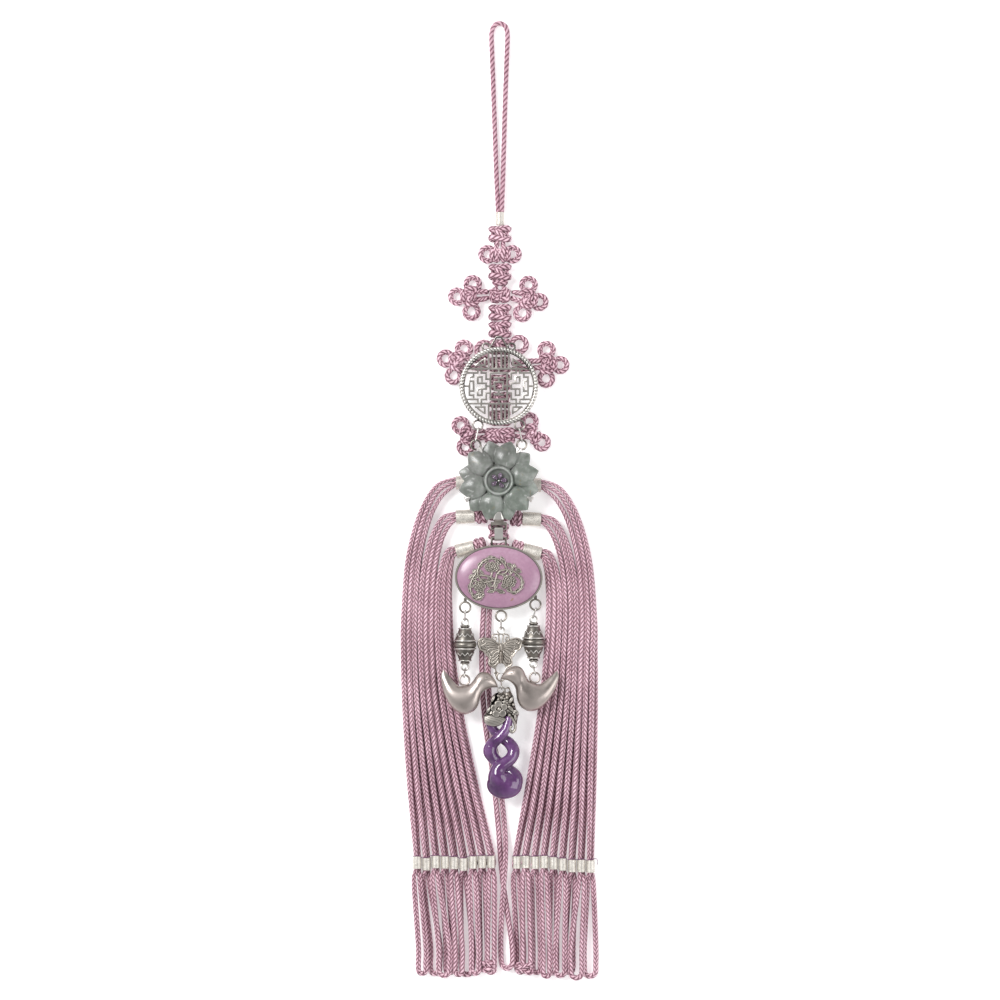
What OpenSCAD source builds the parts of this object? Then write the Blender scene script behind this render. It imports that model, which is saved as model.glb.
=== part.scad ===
// Norigae, lying flat on its back: X to the right, Y towards the hanging loop, Z up.
// The origin is on the surface below the middle of everything but the hanging loop.

/* [Cord] */
// Diameter of the braided cord
cord_d = 2.3; // [2.1:0.05:2.4]
// Diameter of the twisted cord of the hanging loop
hang_cord_d = 1.9; // [1.6:0.1:2.1]
// Gap between neighbouring pieces
gap = 0.15; // [0.1:0.01:0.2]

/* [Tassel] */
// Distance from the tassel's middle to its innermost packed cord
inner_reach = 20; // [19:0.25:22]
// Spacing of the cords where they lie packed
pack_pitch = 2.23; // [2.2:0.01:2.5]
// Half distance between the outer ends of a pair of bars
bar_reach = 17.2; // [16.5:0.1:18]
// Distance between two bars, one below the other
bar_pitch = 13.8; // [13:0.1:16]
// Height of a bar's bound cords, across the bar
bar_h = 4.8; // [4.6:0.1:5.2]
// Thickness of a bar's bound cords, up from the surface
bar_t = 4; // [3.9:0.1:4.4]
// Length of the silver thread wound round a bar
wrap_l = 7.4; // [6:0.1:8.5]
// Thickness of the silver thread windings on bars and loop
wrap_wall = 0.35; // [0.25:0.05:0.5]
// Distance from the plaque's middle down to the silver bands
band_drop = 113.6; // [108:0.5:130]
// Spacing of the silver bands
band_pitch = 3.7; // [3.6:0.05:4.2]
// Height of a silver band
band_h = 4.9; // [3.5:0.1:6]
// Wall of a silver band
band_wall = 0.5; // [0.4:0.05:0.6]
// Distance from the plaque's middle down to the ends of the loops
loop_drop = 159.2; // [156:0.5:180]

/* [Knots] */
// Width of a knot of the upper column
knot_w = 8.9; // [8:0.1:9.5]
// Height of a knot of the upper column
knot_h = 6.6; // [6:0.1:7.5]
// Thickness of the knots, up from the surface
knot_t = 5.2; // [5:0.1:5.8]
// Width of the body of an eared knot
clover_w = 7.3; // [6.8:0.1:7.8]
// Radius of an ear, to the middle of its cord
ear_r = 2.6; // [2.3:0.05:2.9]
// Length of the hanging loop above its silver wrap
hang_l = 76.5; // [60:0.5:90]

/* [Roundel] */
// Outer diameter of the roundel
roundel_d = 31.4; // [30:0.2:33]
// Thickness of its pierced plate
roundel_t = 1.1; // [0.9:0.1:1.4]
// Width of a bar of the fret
fret_w = 0.75; // [0.6:0.05:0.85]
// Distance between the roundel and the jade flower
roundel_drop = 5.5; // [5.2:0.1:7]

/* [Jade flower] */
// Diameter over the petals' tips
jade_d = 33; // [31:0.2:35]
// Thickness of the carving
jade_t = 6.6; // [5.5:0.1:7.5]
// Diameter of the raised ring in the middle
jade_ring_d = 11.6; // [10.5:0.1:13]
// Diameter of the amethyst flower in the ring
amethyst_flower_d = 6.6; // [5.6:0.1:7]

/* [Plaque] */
// Width of the oval plaque with its bezel
plaque_w = 34.9; // [33.5:0.1:36]
// Height of the oval plaque with its bezel
plaque_h = 25.9; // [25:0.1:27]
// Wall of the bezel
bezel_wall = 0.7; // [0.5:0.05:0.9]
// Height of the bezel's wall
bezel_t = 3; // [2.6:0.1:3.4]
// Rise of the cabochon above the bezel
dome_t = 2.4; // [1.8:0.1:3]
// Width of the silver vine on the plaque
vine_w = 22.6; // [20:0.2:24]
// Distance between the plaque and the jade flower's tips
strap_span = 9; // [9:0.1:10]
// Width of the flat strap link
strap_w = 3.4; // [2.8:0.1:4]

/* [Drops] */
// Diameter of the wire of the soldered rings
ring_wire = 0.8; // [0.7:0.05:0.9]
// Diameter of the wire of the links
link_wire = 0.6; // [0.5:0.05:0.65]
// Outer diameter of the plaque's rings
plaque_ring_d = 5; // [4.8:0.1:5.4]
// Outer diameter of the rings on lanterns and butterfly
small_ring_d = 3.5; // [3.4:0.1:3.8]
// Distance between the wires that a link joins
link_span = 2.5; // [2.2:0.1:3]
// Length of a lantern bead
lantern_l = 15.3; // [14:0.1:16.5]
// Diameter of a lantern bead
lantern_d = 9.4; // [9:0.1:10]
// Length of a bird
bird_l = 22.3; // [21:0.1:22.8]
// Thickness of a bird
bird_t = 7.2; // [6:0.1:7.4]
// Half width of the butterfly
wing_span = 8.15; // [7.5:0.1:8.4]
// Thickness of the butterfly's plate
wing_t = 0.9; // [0.7:0.1:1.2]
// Width of the flower cap
cap_w = 13.6; // [13:0.1:14.5]
// Height of the flower cap
cap_h = 14; // [13:0.1:15]
// Length of the twisted amethyst
amethyst_l = 30; // [28:0.5:34]
// Thickness of an amethyst strand
strand_d = 5; // [4.6:0.1:5.4]

/* [Hidden] */

cord_r = cord_d / 2;
deck = knot_t + gap;
low_z = cord_r;
high_z = low_z + cord_d + gap;

// Heights along the piece, worked out from the plaque's middle
axis_x = -0.5;
plaque_y = 6.6;
jade_y = plaque_y + plaque_h / 2 + strap_span + jade_d / 2;
roundel_y = jade_y + jade_d / 2 + roundel_drop + roundel_d / 2;
knot_d_y = roundel_y + roundel_d / 2 + 3.8 + knot_h / 2;
knot_c_y = knot_d_y + knot_h + gap;
cross_y = knot_c_y + knot_h / 2 + gap + clover_w / 2;
neck_l = 2;
knot_b_y = cross_y + clover_w / 2 + gap + neck_l + knot_h / 2;
ear_knot_y = knot_b_y + knot_h / 2 + gap + clover_w / 2;
knot_a_y = ear_knot_y + clover_w / 2 + gap + neck_l / 2 + knot_h / 2;
top_wrap_l = 5.2;
top_wrap_y = knot_a_y + knot_h / 2 + gap;
hang_y = top_wrap_y + top_wrap_l + gap;

// Closed skins over a row of rings, and tubes and cords along a path
function unit(v) = v / norm(v);
function tangent(path, i) = unit(path[min(i + 1, len(path) - 1)] - path[max(i - 1, 0)]);
function ring_points(c, t, r, sides) =
    let (across = unit(cross(t, [0, 0, 1])), up = cross(across, t))
    [for (k = [0:sides - 1])
        let (a = 90 + 360 * k / sides)
        c + r * (cos(a) * across + sin(a) * up)];
module skin(rings) {
    n = len(rings);
    sides = len(rings[0]);
    points = [for (ring = rings) each ring];
    walls = [for (i = [0:n - 2], k = [0:sides - 1])
        let (j = (k + 1) % sides)
        [i * sides + k, i * sides + j, (i + 1) * sides + j, (i + 1) * sides + k]];
    start = [for (k = [sides - 1:-1:0]) k];
    finish = [for (k = [0:sides - 1]) (n - 1) * sides + k];
    polyhedron(points, concat(walls, [start, finish]), convexity = 8);
}
module tube(path, radii, sides = 6) {
    skin([for (i = [0:len(path) - 1]) ring_points(path[i], tangent(path, i), radii[i], sides)]);
}
module cord(path, r = cord_r, sides = 6) {
    tube(path, [for (p = path) r], sides);
}
function reversed(list) = [for (i = [len(list) - 1:-1:0]) list[i]];
function bezier(p, t) =
    pow(1 - t, 3) * p[0] + 3 * t * pow(1 - t, 2) * p[1] + 3 * t * t * (1 - t) * p[2] + t * t * t * p[3];
function polar(r, a) = [r * cos(a), r * sin(a)];

// A ring of round wire lying flat
module wire_ring(outer_d, wire) {
    rotate_extrude($fn = 48) translate([outer_d / 2 - wire / 2, 0]) circle(d = wire, $fn = 20);
}
// A round rod between two points
module rod(from, to, d) {
    v = to - from;
    translate(from) rotate([0, acos(v[2] / norm(v)), atan2(v[1], v[0])]) cylinder(d = d, h = norm(v), $fn = 20);
}
// An upright oval link that joins the wires at two points of rings lying flat
module joining_link(from, to) {
    v = to - from;
    reach = norm(v) / 2 + ring_wire / 2 + link_wire / 2 + gap;
    bend_r = ring_wire / 2 + link_wire / 2 + gap;
    leg = reach - bend_r;
    color("silver") translate((from + to) / 2)
        along(v) {
            for (side = [0, 1]) rotate([0, 0, 180 * side]) translate([0, leg, 0])
                rotate_extrude(angle = 180, $fn = 32) translate([bend_r, 0]) circle(d = link_wire, $fn = 16);
            for (side = [-1, 1]) translate([side * bend_r, -leg - 0.05, 0]) rotate([-90, 0, 0])
                cylinder(d = link_wire * 1.03, h = 2 * leg + 0.1, $fn = 16);
        }
}
// Stands a shape drawn in the XY plane upright, with its Y axis along a vector
module along(v) {
    rotate([0, 0, atan2(v[1], v[0])]) rotate([0, -asin(v[2] / norm(v)), 0]) rotate([90, 0, 0]) rotate([0, 0, -90])
        children();
}
module stadium(w, h) {
    r = min(w, h) / 2;
    for (s = [-1, 1]) translate([s * (w / 2 - r), s * (h / 2 - r)]) circle(r, $fn = 32);
    square([w > h ? w - 2 * r : w, w > h ? h : h - 2 * r], center = true);
}

// Hanging loop: a cord of round points from the silver wrap, round the apex and back
hang_half = [[0.75, 0, 2.4], [0.9, 6, 2.2], [1.2, 14, 1.6], [1.6, 28, 1.1], [2, 42, 1.1], [2.5, 56, 1.1], [2.8, 64, 1.1],
    [3, 69, 1.1], [2.9, 72, 1.1], [2, 74.5, 1.1]];
hang_other = [[-0.75, 0, 1.05], [-1, 6, 1.1], [-1.4, 14, 1.1], [-1.9, 28, 1.1], [-2.4, 42, 1.1], [-2.9, 56, 1.1],
    [-3.2, 64, 1.1], [-3.4, 69, 1.1], [-3.3, 72, 1.1], [-2.3, 74.5, 1.1]];
module hanging_loop() {
    color("plum") translate([0, hang_y, 0])
        cord(concat(hang_half, [[-0.2, hang_l - hang_cord_d / 2, 1.1]], reversed(hang_other)), hang_cord_d / 2, 8);
}
module top_wrap() {
    color("silver") translate([0, top_wrap_y, 2.1]) rotate([-90, 0, 0])
        linear_extrude(top_wrap_l) stadium(3.5, 4.1);
}

// Knots: soft bodies with the cord's ears round them
module soft_block(w, h, t) {
    r = min(t, w, h) / 2;
    translate([0, 0, t / 2]) hull() for (x = [-1, 1], y = [-1, 1])
        translate([x * (w / 2 - r), y * (h / 2 - r), 0]) sphere(r, $fn = 10);
}
module column_knot(neck) {
    coil_h = knot_h / 2 + 0.1;
    color("plum") union() {
        for (y = [-1, 1]) translate([0, y * (knot_h - coil_h) / 2, 0]) hull()
            for (x = [-1, 1], z = [-1, 1])
                translate([x * (knot_w / 2 - coil_h / 2), 0, knot_t / 2 + z * (knot_t / 2 - coil_h / 2)])
                    sphere(coil_h / 2, $fn = 10);
        if (neck > 0) for (x = [-1, 1])
            cord([[x * cord_r, -knot_h / 2 - neck, knot_t / 2], [x * cord_r, 0, knot_t / 2]]);
    }
}
// An eared knot: a body with a loop of cord at each row of ears, which holds an angle and a reach
module eared_knot(ears) {
    root = clover_w / 2 - 1.1;
    union() {
        soft_block(clover_w, clover_w, knot_t - 0.6);
        for (e = ears) rotate(e[0]) {
            loop = [for (a = [-144:48:144]) [e[1] + ear_r * cos(a), ear_r * sin(a), low_z + 0.4 + 0.4 * sin(a)]];
            cord(concat([[root, -cord_r, low_z + 0.4]], loop, [[root, cord_r, low_z + 0.4]]), cord_r * 0.94);
        }
    }
}
// Two cords side by side that lead from an eared knot towards its neighbour
module arm(from, to) {
    v = unit(to - from);
    side = [-v[1], v[0]] * (cord_r + 0.02);
    for (s = [-1, 1])
        cord([for (p = [from + v * 2.3, to]) [p[0] + s * side[0], p[1] + s * side[1], low_z + 0.7]]);
}
module clover(place, ears, lead) {
    color("plum") translate([place[0], place[1], 0]) union() {
        eared_knot(ears);
        arm([0, 0], lead);
    }
}
module ear_knot() {
    color("plum") translate([0, ear_knot_y, 0]) union() {
        soft_block(clover_w, clover_w, knot_t);
        for (s = [-1, 1]) rotate(90 - 90 * s) {
            loop = [for (a = [-144:48:144]) [5 + ear_r * cos(a), ear_r * sin(a), low_z + 0.5]];
            cord(concat([[2.5, -cord_r, low_z + 0.5]], loop, [[2.5, cord_r, low_z + 0.5]]), cord_r * 0.94);
        }
        for (x = [-1, 1])
            cord([[x * cord_r, 0, knot_t / 2], [x * cord_r, clover_w / 2 + neck_l / 2, knot_t / 2]], cord_r);
    }
}
module cross_knot() {
    color("plum") translate([0, cross_y, 0]) soft_block(clover_w + 0.5, clover_w, knot_t);
}

// The knotted mass behind the roundel
back_top = knot_d_y - knot_h / 2 - gap;
back_foot = jade_y + jade_d / 2 - 2;
module back_knot() {
    span = back_top - back_foot;
    knots = 6;
    step = span / knots;
    color("plum") union() {
        for (i = [0:knots - 1]) translate([0, back_foot + (i + 0.5) * step, 0])
            soft_block(i == 0 ? knot_w + 4.5 : knot_w - 0.4, step + 0.4, knot_t);
        for (ear = [[7.6, back_top - 2.6], [-6.4, back_top - 4.6]])
            cord([for (a = [-120:40:200])
                let (turn = ear[0] > 0 ? a : 180 - a)
                [ear[0] + 2.9 * cos(turn), ear[1] + 2.9 * sin(turn), low_z + 0.1 + 0.002 * (a + 120)]]);
    }
}
// Knotted column from the back knot down to the third pair of bars
column_foot = plaque_y + 6.6;
column_w = 8.6;
module cord_column() {
    top = back_foot - gap;
    knots = 6;
    step = (top - column_foot) / knots;
    color("plum") union() for (i = [0:knots - 1])
        translate([axis_x, column_foot + (i + 0.5) * step, 0]) soft_block(column_w, step + 0.4, knot_t);
}

// Tassel: a row for each loop of a side, from the outermost to the innermost
// [shift of its end towards the middle in band pitches, half width in cord diameters, layer,
//  how much longer it hangs in mm, how much lower its band sits in mm]
LEFT_LOOPS = [
    [0.53, 0.63, 1, 0, 0.3], [0.9, 0.78, 0, 0.4, 0.9], [0.88, 0.91, 1, 0.9, 0], [0.47, 0.6, 0, 0, 0.2],
    [0.47, 0.57, 1, 0.5, 0.4], [0.36, 0.95, 0, 0.9, 1], [0.24, 0.6, 1, 0, 0.2], [0.15, 0.6, 0, -1, 0],
    [-0.05, 0.57, 1, -0.3, 0],
];
RIGHT_LOOPS = [
    [0.04, 0.95, 0, 1.5, 1.8], [0.53, 0.95, 1, 1.9, 1.6], [0.31, 0.65, 0, 0, 1.6], [0.28, 0.74, 1, 0.9, 1],
    [0.04, 0.58, 0, 0.2, 0.5], [-0.23, 0.57, 1, 1.2, 0], [-0.18, 0.6, 0, 0, 0.3], [-0.1, 0.65, 1, -1, 0],
    [-0.39, 0.57, 0, -0.5, 0.2],
];
// Tilt of each bar, its outer end lower, from the top pair to the bottom pair
BAR_TILT = [0, 3, 14];
// Height at which each bar's cords have turned down, in mm below the plaque's middle
TURN_DROP = [16, 14, 11];
tassel_x = -0.6;
band_x = 1.55;
LOOPS = 9;
PER_BAR = 3;
core_clear = 0.1;
bar_z = bar_t / 2 + wrap_wall + core_clear;
thin_r = (bar_h - 0.4) / 6 - core_clear / 2;
bound_r = cord_r * 0.8;
bound_low = band_wall + core_clear + bound_r;
bound_high = bound_low + 2 * bound_r + core_clear;
band_w = band_pitch - 2 * gap - 0.1;

function bar_y(side, k) = jade_y - 0.7 - bar_pitch * k - (side > 0 ? 1 : 0);
function bar_end(side, k) = [tassel_x + side * bar_reach, bar_y(side, k)];
// The point on a bar's middle line at a distance inwards from its outer end
function bar_point(side, k, inwards) =
    let (end = bar_end(side, k))
    [end[0] - side * inwards * cos(BAR_TILT[k]), end[1] + inwards * sin(BAR_TILT[k])];
function loop_row(side, i) = side < 0 ? LEFT_LOOPS[i] : RIGHT_LOOPS[i];
function band_place(side, i) =
    [band_x + side * band_pitch * (LOOPS - i + 0.35), plaque_y - band_drop - loop_row(side, i)[4]];
// Half a loop in plan, from inside the bar's end down to the foot of its band
SPLAY = [1.6, 0, -3.2];
SHOULDER_SHARES = [0.25, 0.5, 0.75, 1];
FAN_SHARES = [0.15, 0.4, 0.72];
function half_loop(side, i) =
    let (k = floor(i / PER_BAR), j = i % PER_BAR, lift = [0, (1 - j) * (2 * thin_r + core_clear)])
    let (inside = bar_point(side, k, 1.2) + lift, start = bar_point(side, k, -0.6) + lift)
    let (turn = [tassel_x + side * (inner_reach + (LOOPS - 1 - i) * pack_pitch), plaque_y - TURN_DROP[k]])
    let (out = abs(turn[0] - start[0]), down = start[1] - turn[1], band = band_place(side, i))
    let (shoulder = [start, start + [side * 0.5 * out, SPLAY[j]], turn + [0, 0.6 * down], turn])
    let (foot = band + [0, band_h / 2], fan_l = turn[1] - foot[1], lean = (turn[0] - foot[0]) * 0.55)
    let (fan = [turn, turn - [0, 0.36 * fan_l], foot + [lean, 0.38 * fan_l], foot])
    concat([inside, start], [for (t = SHOULDER_SHARES) bezier(shoulder, t)],
        [for (t = FAN_SHARES) bezier(fan, t)], [foot + [0, 0.2], band - [0, band_h / 2 + 0.2]]);
// Heights of the front or the back cord at those points, and radii
function half_heights(front) =
    let (bar = bar_z + (front ? 1 : -1) * (thin_r + core_clear), free = front ? high_z : low_z)
    let (bound = front ? bound_high : bound_low)
    concat([bar, bar], [for (t = concat(SHOULDER_SHARES, FAN_SHARES)) free], [bound, bound]);
half_radii = concat([thin_r, thin_r], [for (t = SHOULDER_SHARES) cord_r - (cord_r - thin_r) * pow(1 - t, 1.6)],
    [for (t = FAN_SHARES) cord_r], [bound_r, bound_r]);
// The end of a loop, from one side round to the other
function loop_end(side, i) =
    let (row = loop_row(side, i), band = band_place(side, i), r = row[1] * cord_d)
    let (x = band[0] - side * row[0] * band_pitch, z = row[2] * (high_z - low_z) + low_z)
    let (y = plaque_y - loop_drop - row[3] + r + cord_r, spread = cord_r + 0.05, spread_y = band[1] - band_h / 2 - 6)
    concat([[band[0] - spread, spread_y, z], [x - r, y + 10, z], [x - r, y, z]],
        [for (a = [45, 90, 135]) [x - r * cos(a), y - r * sin(a), z]],
        [[x + r, y, z], [x + r, y + 10, z], [band[0] + spread, spread_y, z]]);
module loop(side, i) {
    plan = half_loop(side, i);
    front_z = half_heights(true);
    back_z = half_heights(false);
    front = [for (n = [0:len(plan) - 1]) [plan[n][0], plan[n][1], front_z[n]]];
    back = [for (n = [0:len(plan) - 1]) [plan[n][0], plan[n][1], back_z[n]]];
    end = loop_end(side, i);
    radii = concat(half_radii, [for (p = end) cord_r], reversed(half_radii));
    tube(concat(front, end, reversed(back)), radii);
}
module bar_core(side, k, from, to, w, t) {
    at = bar_point(side, k, from);
    translate([at[0], at[1], bar_z]) rotate([0, 0, side * -BAR_TILT[k]]) rotate([90, 0, side * -90])
        linear_extrude(to - from) stadium(w, t);
}
// How much higher than the bar its two coils beside the column are
COIL_GROW = 1.8;
module bundle(side, k) {
    inner = bar_reach + side * (tassel_x - axis_x) - column_w / 2 - gap;
    length = (inner - (bar_h + COIL_GROW) / 2 * sin(BAR_TILT[k])) / cos(BAR_TILT[k]);
    coil = cord_d * 0.95;
    color("plum") union() {
        bar_core(side, k, 0, length, bar_h, bar_t);
        if (k > 0) for (n = [0, 1])
            bar_core(side, k, length - coil * (n + 1), length - coil * n - gap, bar_h + COIL_GROW, bar_t + 2 * wrap_wall);
        for (j = [0:PER_BAR - 1]) loop(side, k * PER_BAR + j);
    }
}
module wrap(side, k) {
    color("silver") difference() {
        bar_core(side, k, 0.2, 0.2 + wrap_l, bar_h + 2 * core_clear + 2 * wrap_wall,
            bar_t + 2 * core_clear + 2 * wrap_wall);
        bar_core(side, k, -1, wrap_l + 1, bar_h + 2 * core_clear, bar_t + 2 * core_clear);
    }
}
module bands(side) {
    height = bound_high + bound_r + core_clear + band_wall;
    color("silver") for (i = [0:LOOPS - 1]) {
        at = band_place(side, i);
        translate([at[0], at[1] - band_h / 2, height / 2]) rotate([-90, 0, 0]) linear_extrude(band_h)
            difference() {
                stadium(band_w, height);
                stadium(2 * (bound_r + core_clear), height - 2 * band_wall);
            }
    }
}

// Centre loop: the two cords below a small head, as round points by hand
centre_left = [[-2.6, 1, 1.15], [-4.4, -5, 1.15], [-6.2, -14, 1.15], [-7.2, -32, 1.15], [-7, -50, 1.15],
    [-5.6, -66, 1.15], [-3.6, -79, 1.15], [-2.2, -90, 1.15], [-0.6, -106, 1.15], [0.2, -117, 1.15],
    [1.4, -128, 1.15], [3.2, -138, 2], [5, -146, 3.6], [5.4, -154, 3.6]];
centre_right = [[0, 1, 1.15], [-2, -5, 1.15], [-3.8, -14, 1.15], [-4.7, -32, 1.15], [-4.5, -50, 1.15],
    [-3.1, -66, 1.15], [-1.1, -79, 1.15], [0.3, -90, 1.15], [1.9, -106, 1.15], [2.2, -117, 3.4],
    [1.4, -128, 3.6], [0.6, -138, 2.6], [0.4, -146, 1.15], [0.5, -154, 1.15]];
module centre_loop() {
    color("plum") translate([0, column_foot - gap - 1.2, 0]) union() {
        translate([-1.3, -1.6, 0]) soft_block(6.4, 3.2, 2.6);
        cord(concat(centre_right, [[1.4, -156.4, 1.9], [3, -157.2, 2.4], [4.6, -156.4, 2.9]], reversed(centre_left)));
    }
}

// Roundel: a pierced fret in a rope rim, with a scroll bail and two rings
rim_wire = 1.8;
roundel_rings = [for (s = [-1, 1]) [axis_x + s * 8.3, roundel_y - sqrt(pow(roundel_d / 2, 2) - 8.3 * 8.3) - 2.2]];
link_ring_d = 4.6;
// Bars of the fret in a quarter, as [x0, y0, x1, y1] in shares of the fret's radius, mirrored to the other three
FRET_BARS = [
    [0.07, 0.5, 0.07, 1], [0.18, 0.5, 0.18, 1], [0.29, 0.5, 0.29, 1], [0.29, 0.5, 0.83, 0.5],
    [0.4, 0.6, 0.4, 0.78], [0.4, 0.6, 0.66, 0.6], [0, 0.38, 0.24, 0.38], [0.24, 0.38, 0.24, 0],
    [0, 0.38, 0, 0.5], [0, 0.5, 0.29, 0.5], [0.12, 0.12, 0.12, 0], [0, 0.12, 0.12, 0.12], [0, 0.12, 0, 0.24],
    [0, 0.24, 0.12, 0.24], [0.24, 0.2, 0.36, 0.2], [0.36, 0.2, 0.36, 0.38], [0.36, 0.38, 0.5, 0.38],
    [0.5, 0.38, 0.5, 0.5], [0.36, 0.08, 0.6, 0.08], [0.6, 0.08, 0.6, 0.26], [0.48, 0.26, 0.6, 0.26],
    [0.48, 0.08, 0.48, 0.26], [0.6, 0.38, 0.88, 0.38], [0.72, 0.26, 0.72, 0.38], [0.72, 0.26, 0.84, 0.26],
    [0.84, 0.14, 0.84, 0.26], [0.72, 0.14, 0.84, 0.14], [0.72, 0, 0.72, 0.14], [0.6, 0.38, 0.6, 0.5],
    [0.84, 0, 1, 0], [0.5, 0.5, 0.5, 0.6], [0.12, 0, 0.24, 0], [0.84, 0, 0.84, 0.14], [0.36, 0, 0.36, 0.08], [0.24, 0, 0.36, 0],
];
module fret_bar(bar, r) {
    translate([min(bar[0], bar[2]) * r - fret_w / 2, min(bar[1], bar[3]) * r - fret_w / 2])
        square([abs(bar[2] - bar[0]) * r + fret_w, abs(bar[3] - bar[1]) * r + fret_w]);
}
module fret(r) {
    intersection() {
        circle(r + 0.3, $fn = 96);
        for (mx = [0, 1], my = [0, 1]) mirror([mx, 0]) mirror([0, my]) {
            for (bar = FRET_BARS) fret_bar(bar, r);
            intersection() {
                difference() {
                    circle(r * 0.9, $fn = 96);
                    circle(r * 0.9 - fret_w, $fn = 96);
                }
                translate([0.4 * r - fret_w / 2, 0.6 * r - fret_w / 2]) square(r);
            }
        }
    }
}
module roundel() {
    r = roundel_d / 2 - rim_wire;
    scroll_x = 5.1;
    scroll_y = sqrt(pow(roundel_d / 2 - rim_wire / 2, 2) - scroll_x * scroll_x) + 1.8;
    apex_y = roundel_d / 2 + 3.9;
    wire_z = ring_wire / 2 + 0.2;
    color("silver") union() {
        translate([axis_x, roundel_y, deck]) {
            translate([0, 0, 0.27]) linear_extrude(roundel_t - 0.27) union() {
                fret(r);
                difference() {
                    circle(roundel_d / 2 - rim_wire / 2 + 0.13, $fn = 90);
                    circle(r - 0.3, $fn = 90);
                }
            }
            translate([0, 0, rim_wire / 2 + 0.1]) wire_ring(roundel_d, rim_wire);
            for (s = [-1, 1]) {
                translate([s * scroll_x, scroll_y, wire_z]) wire_ring(3.6, ring_wire);
                rod([s * 0.9, apex_y, wire_z + 0.06], [s * (scroll_x - 1.5), scroll_y - 0.3, wire_z + 0.06], ring_wire - 0.1);
            }
            rod([-1.1, apex_y + 0.05, wire_z], [1.1, apex_y + 0.05, wire_z], ring_wire + 0.1);
        }
        for (at = roundel_rings) translate([at[0], at[1], deck + ring_wire / 2 + 0.1]) wire_ring(link_ring_d, ring_wire);
    }
}

// Jade flower and its mount
// Tips of the petals in degrees, anticlockwise from the right, as they were carved by eye
PETAL_TIPS = [14, 41, 73, 104, 137, 168, 193, 227, 253, 286, 315, 346, 374];
valley_share = 0.815;
jade_z = deck + 0.8 + gap;
recess_share = 0.82;
function petal_of(a) = max([for (i = [0:11]) a >= PETAL_TIPS[i] ? i : 0]);
// Place between two tips: 0 and 1 at the tips, 0.5 in the valley
function petal_phase(a) =
    let (b = a < PETAL_TIPS[0] ? a + 360 : a, i = petal_of(b))
    (b - PETAL_TIPS[i]) / (PETAL_TIPS[i + 1] - PETAL_TIPS[i]);
function tip_share(a) = pow(abs(2 * petal_phase(a) - 1), 0.9);
function jade_r(a) = jade_d / 2 * (valley_share + (1 - valley_share) * tip_share(a));
// Rows from the middle of the face to the middle of the back:
// [share of the outline, fixed radius, height, lift of a petal's middle]
function jade_rows() =
    let (ring = jade_ring_d / 2, t = jade_t)
    [[0, ring * recess_share, t * 0.64, 0], [0, ring * recess_share + 0.1, t * 0.93, 0], [0, ring - 0.3, t, 0],
        [0, ring, t * 0.74, 0], [0.62, 0, t * 0.78, 0.5], [0.85, 0, t * 0.74, 0.3], [1, 0, t * 0.5, 0],
        [0.97, 0, t * 0.3, 0], [0.66, 0, 0, 0]];
module jade_flower() {
    steps = 60;
    rows = jade_rows();
    count = len(rows);
    points = concat([for (row = rows, k = [0:steps - 1])
        let (a = 360 * k / steps, r = row[0] > 0 ? row[0] * jade_r(a) : row[1])
        [r * cos(a), r * sin(a), row[2] + row[3] * cos(360 * petal_phase(a))]],
        [[0, 0, rows[0][2]], [0, 0, 0]]);
    face = count * steps;
    walls = [for (i = [0:count - 2], k = [0:steps - 1])
        let (j = (k + 1) % steps)
        [i * steps + k, i * steps + j, (i + 1) * steps + j, (i + 1) * steps + k]];
    caps = [for (k = [0:steps - 1]) let (j = (k + 1) % steps) each
        [[face, j, k], [face + 1, (count - 1) * steps + k, (count - 1) * steps + j]]];
    color("darkseagreen") translate([axis_x, jade_y, jade_z]) polyhedron(points, concat(walls, caps), convexity = 8);
}
module flower_centre() {
    r = amethyst_flower_d / 2;
    petal = r * 0.42;
    color("mediumpurple") translate([axis_x, jade_y, jade_z + jade_t * 0.64 + gap]) union() {
        for (a = [90:72:378]) rotate(a) translate([r - petal, 0, 0]) cylinder(r = petal, h = 1.1, $fn = 20);
        cylinder(r = petal * 1.15, h = 1.5, $fn = 20);
    }
}
CLAW_ANGLES = [57, 120.5, 210, 330.5];
claw_d = 0.9;
claw_r = jade_d / 2 * (valley_share + 0.035) + claw_d / 2 + gap;
jade_rings = [for (s = [-1, 1]) [axis_x, jade_y] + polar(claw_r + link_ring_d / 2 + 0.1, 90 + s * -32.5)];
bar_u_y = jade_y - jade_d / 2 - 2.7;
bail_u_y = plaque_y + plaque_h / 2 + 2.7;
strap_z = deck + 1.3;
u_w = 6.4;
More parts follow.
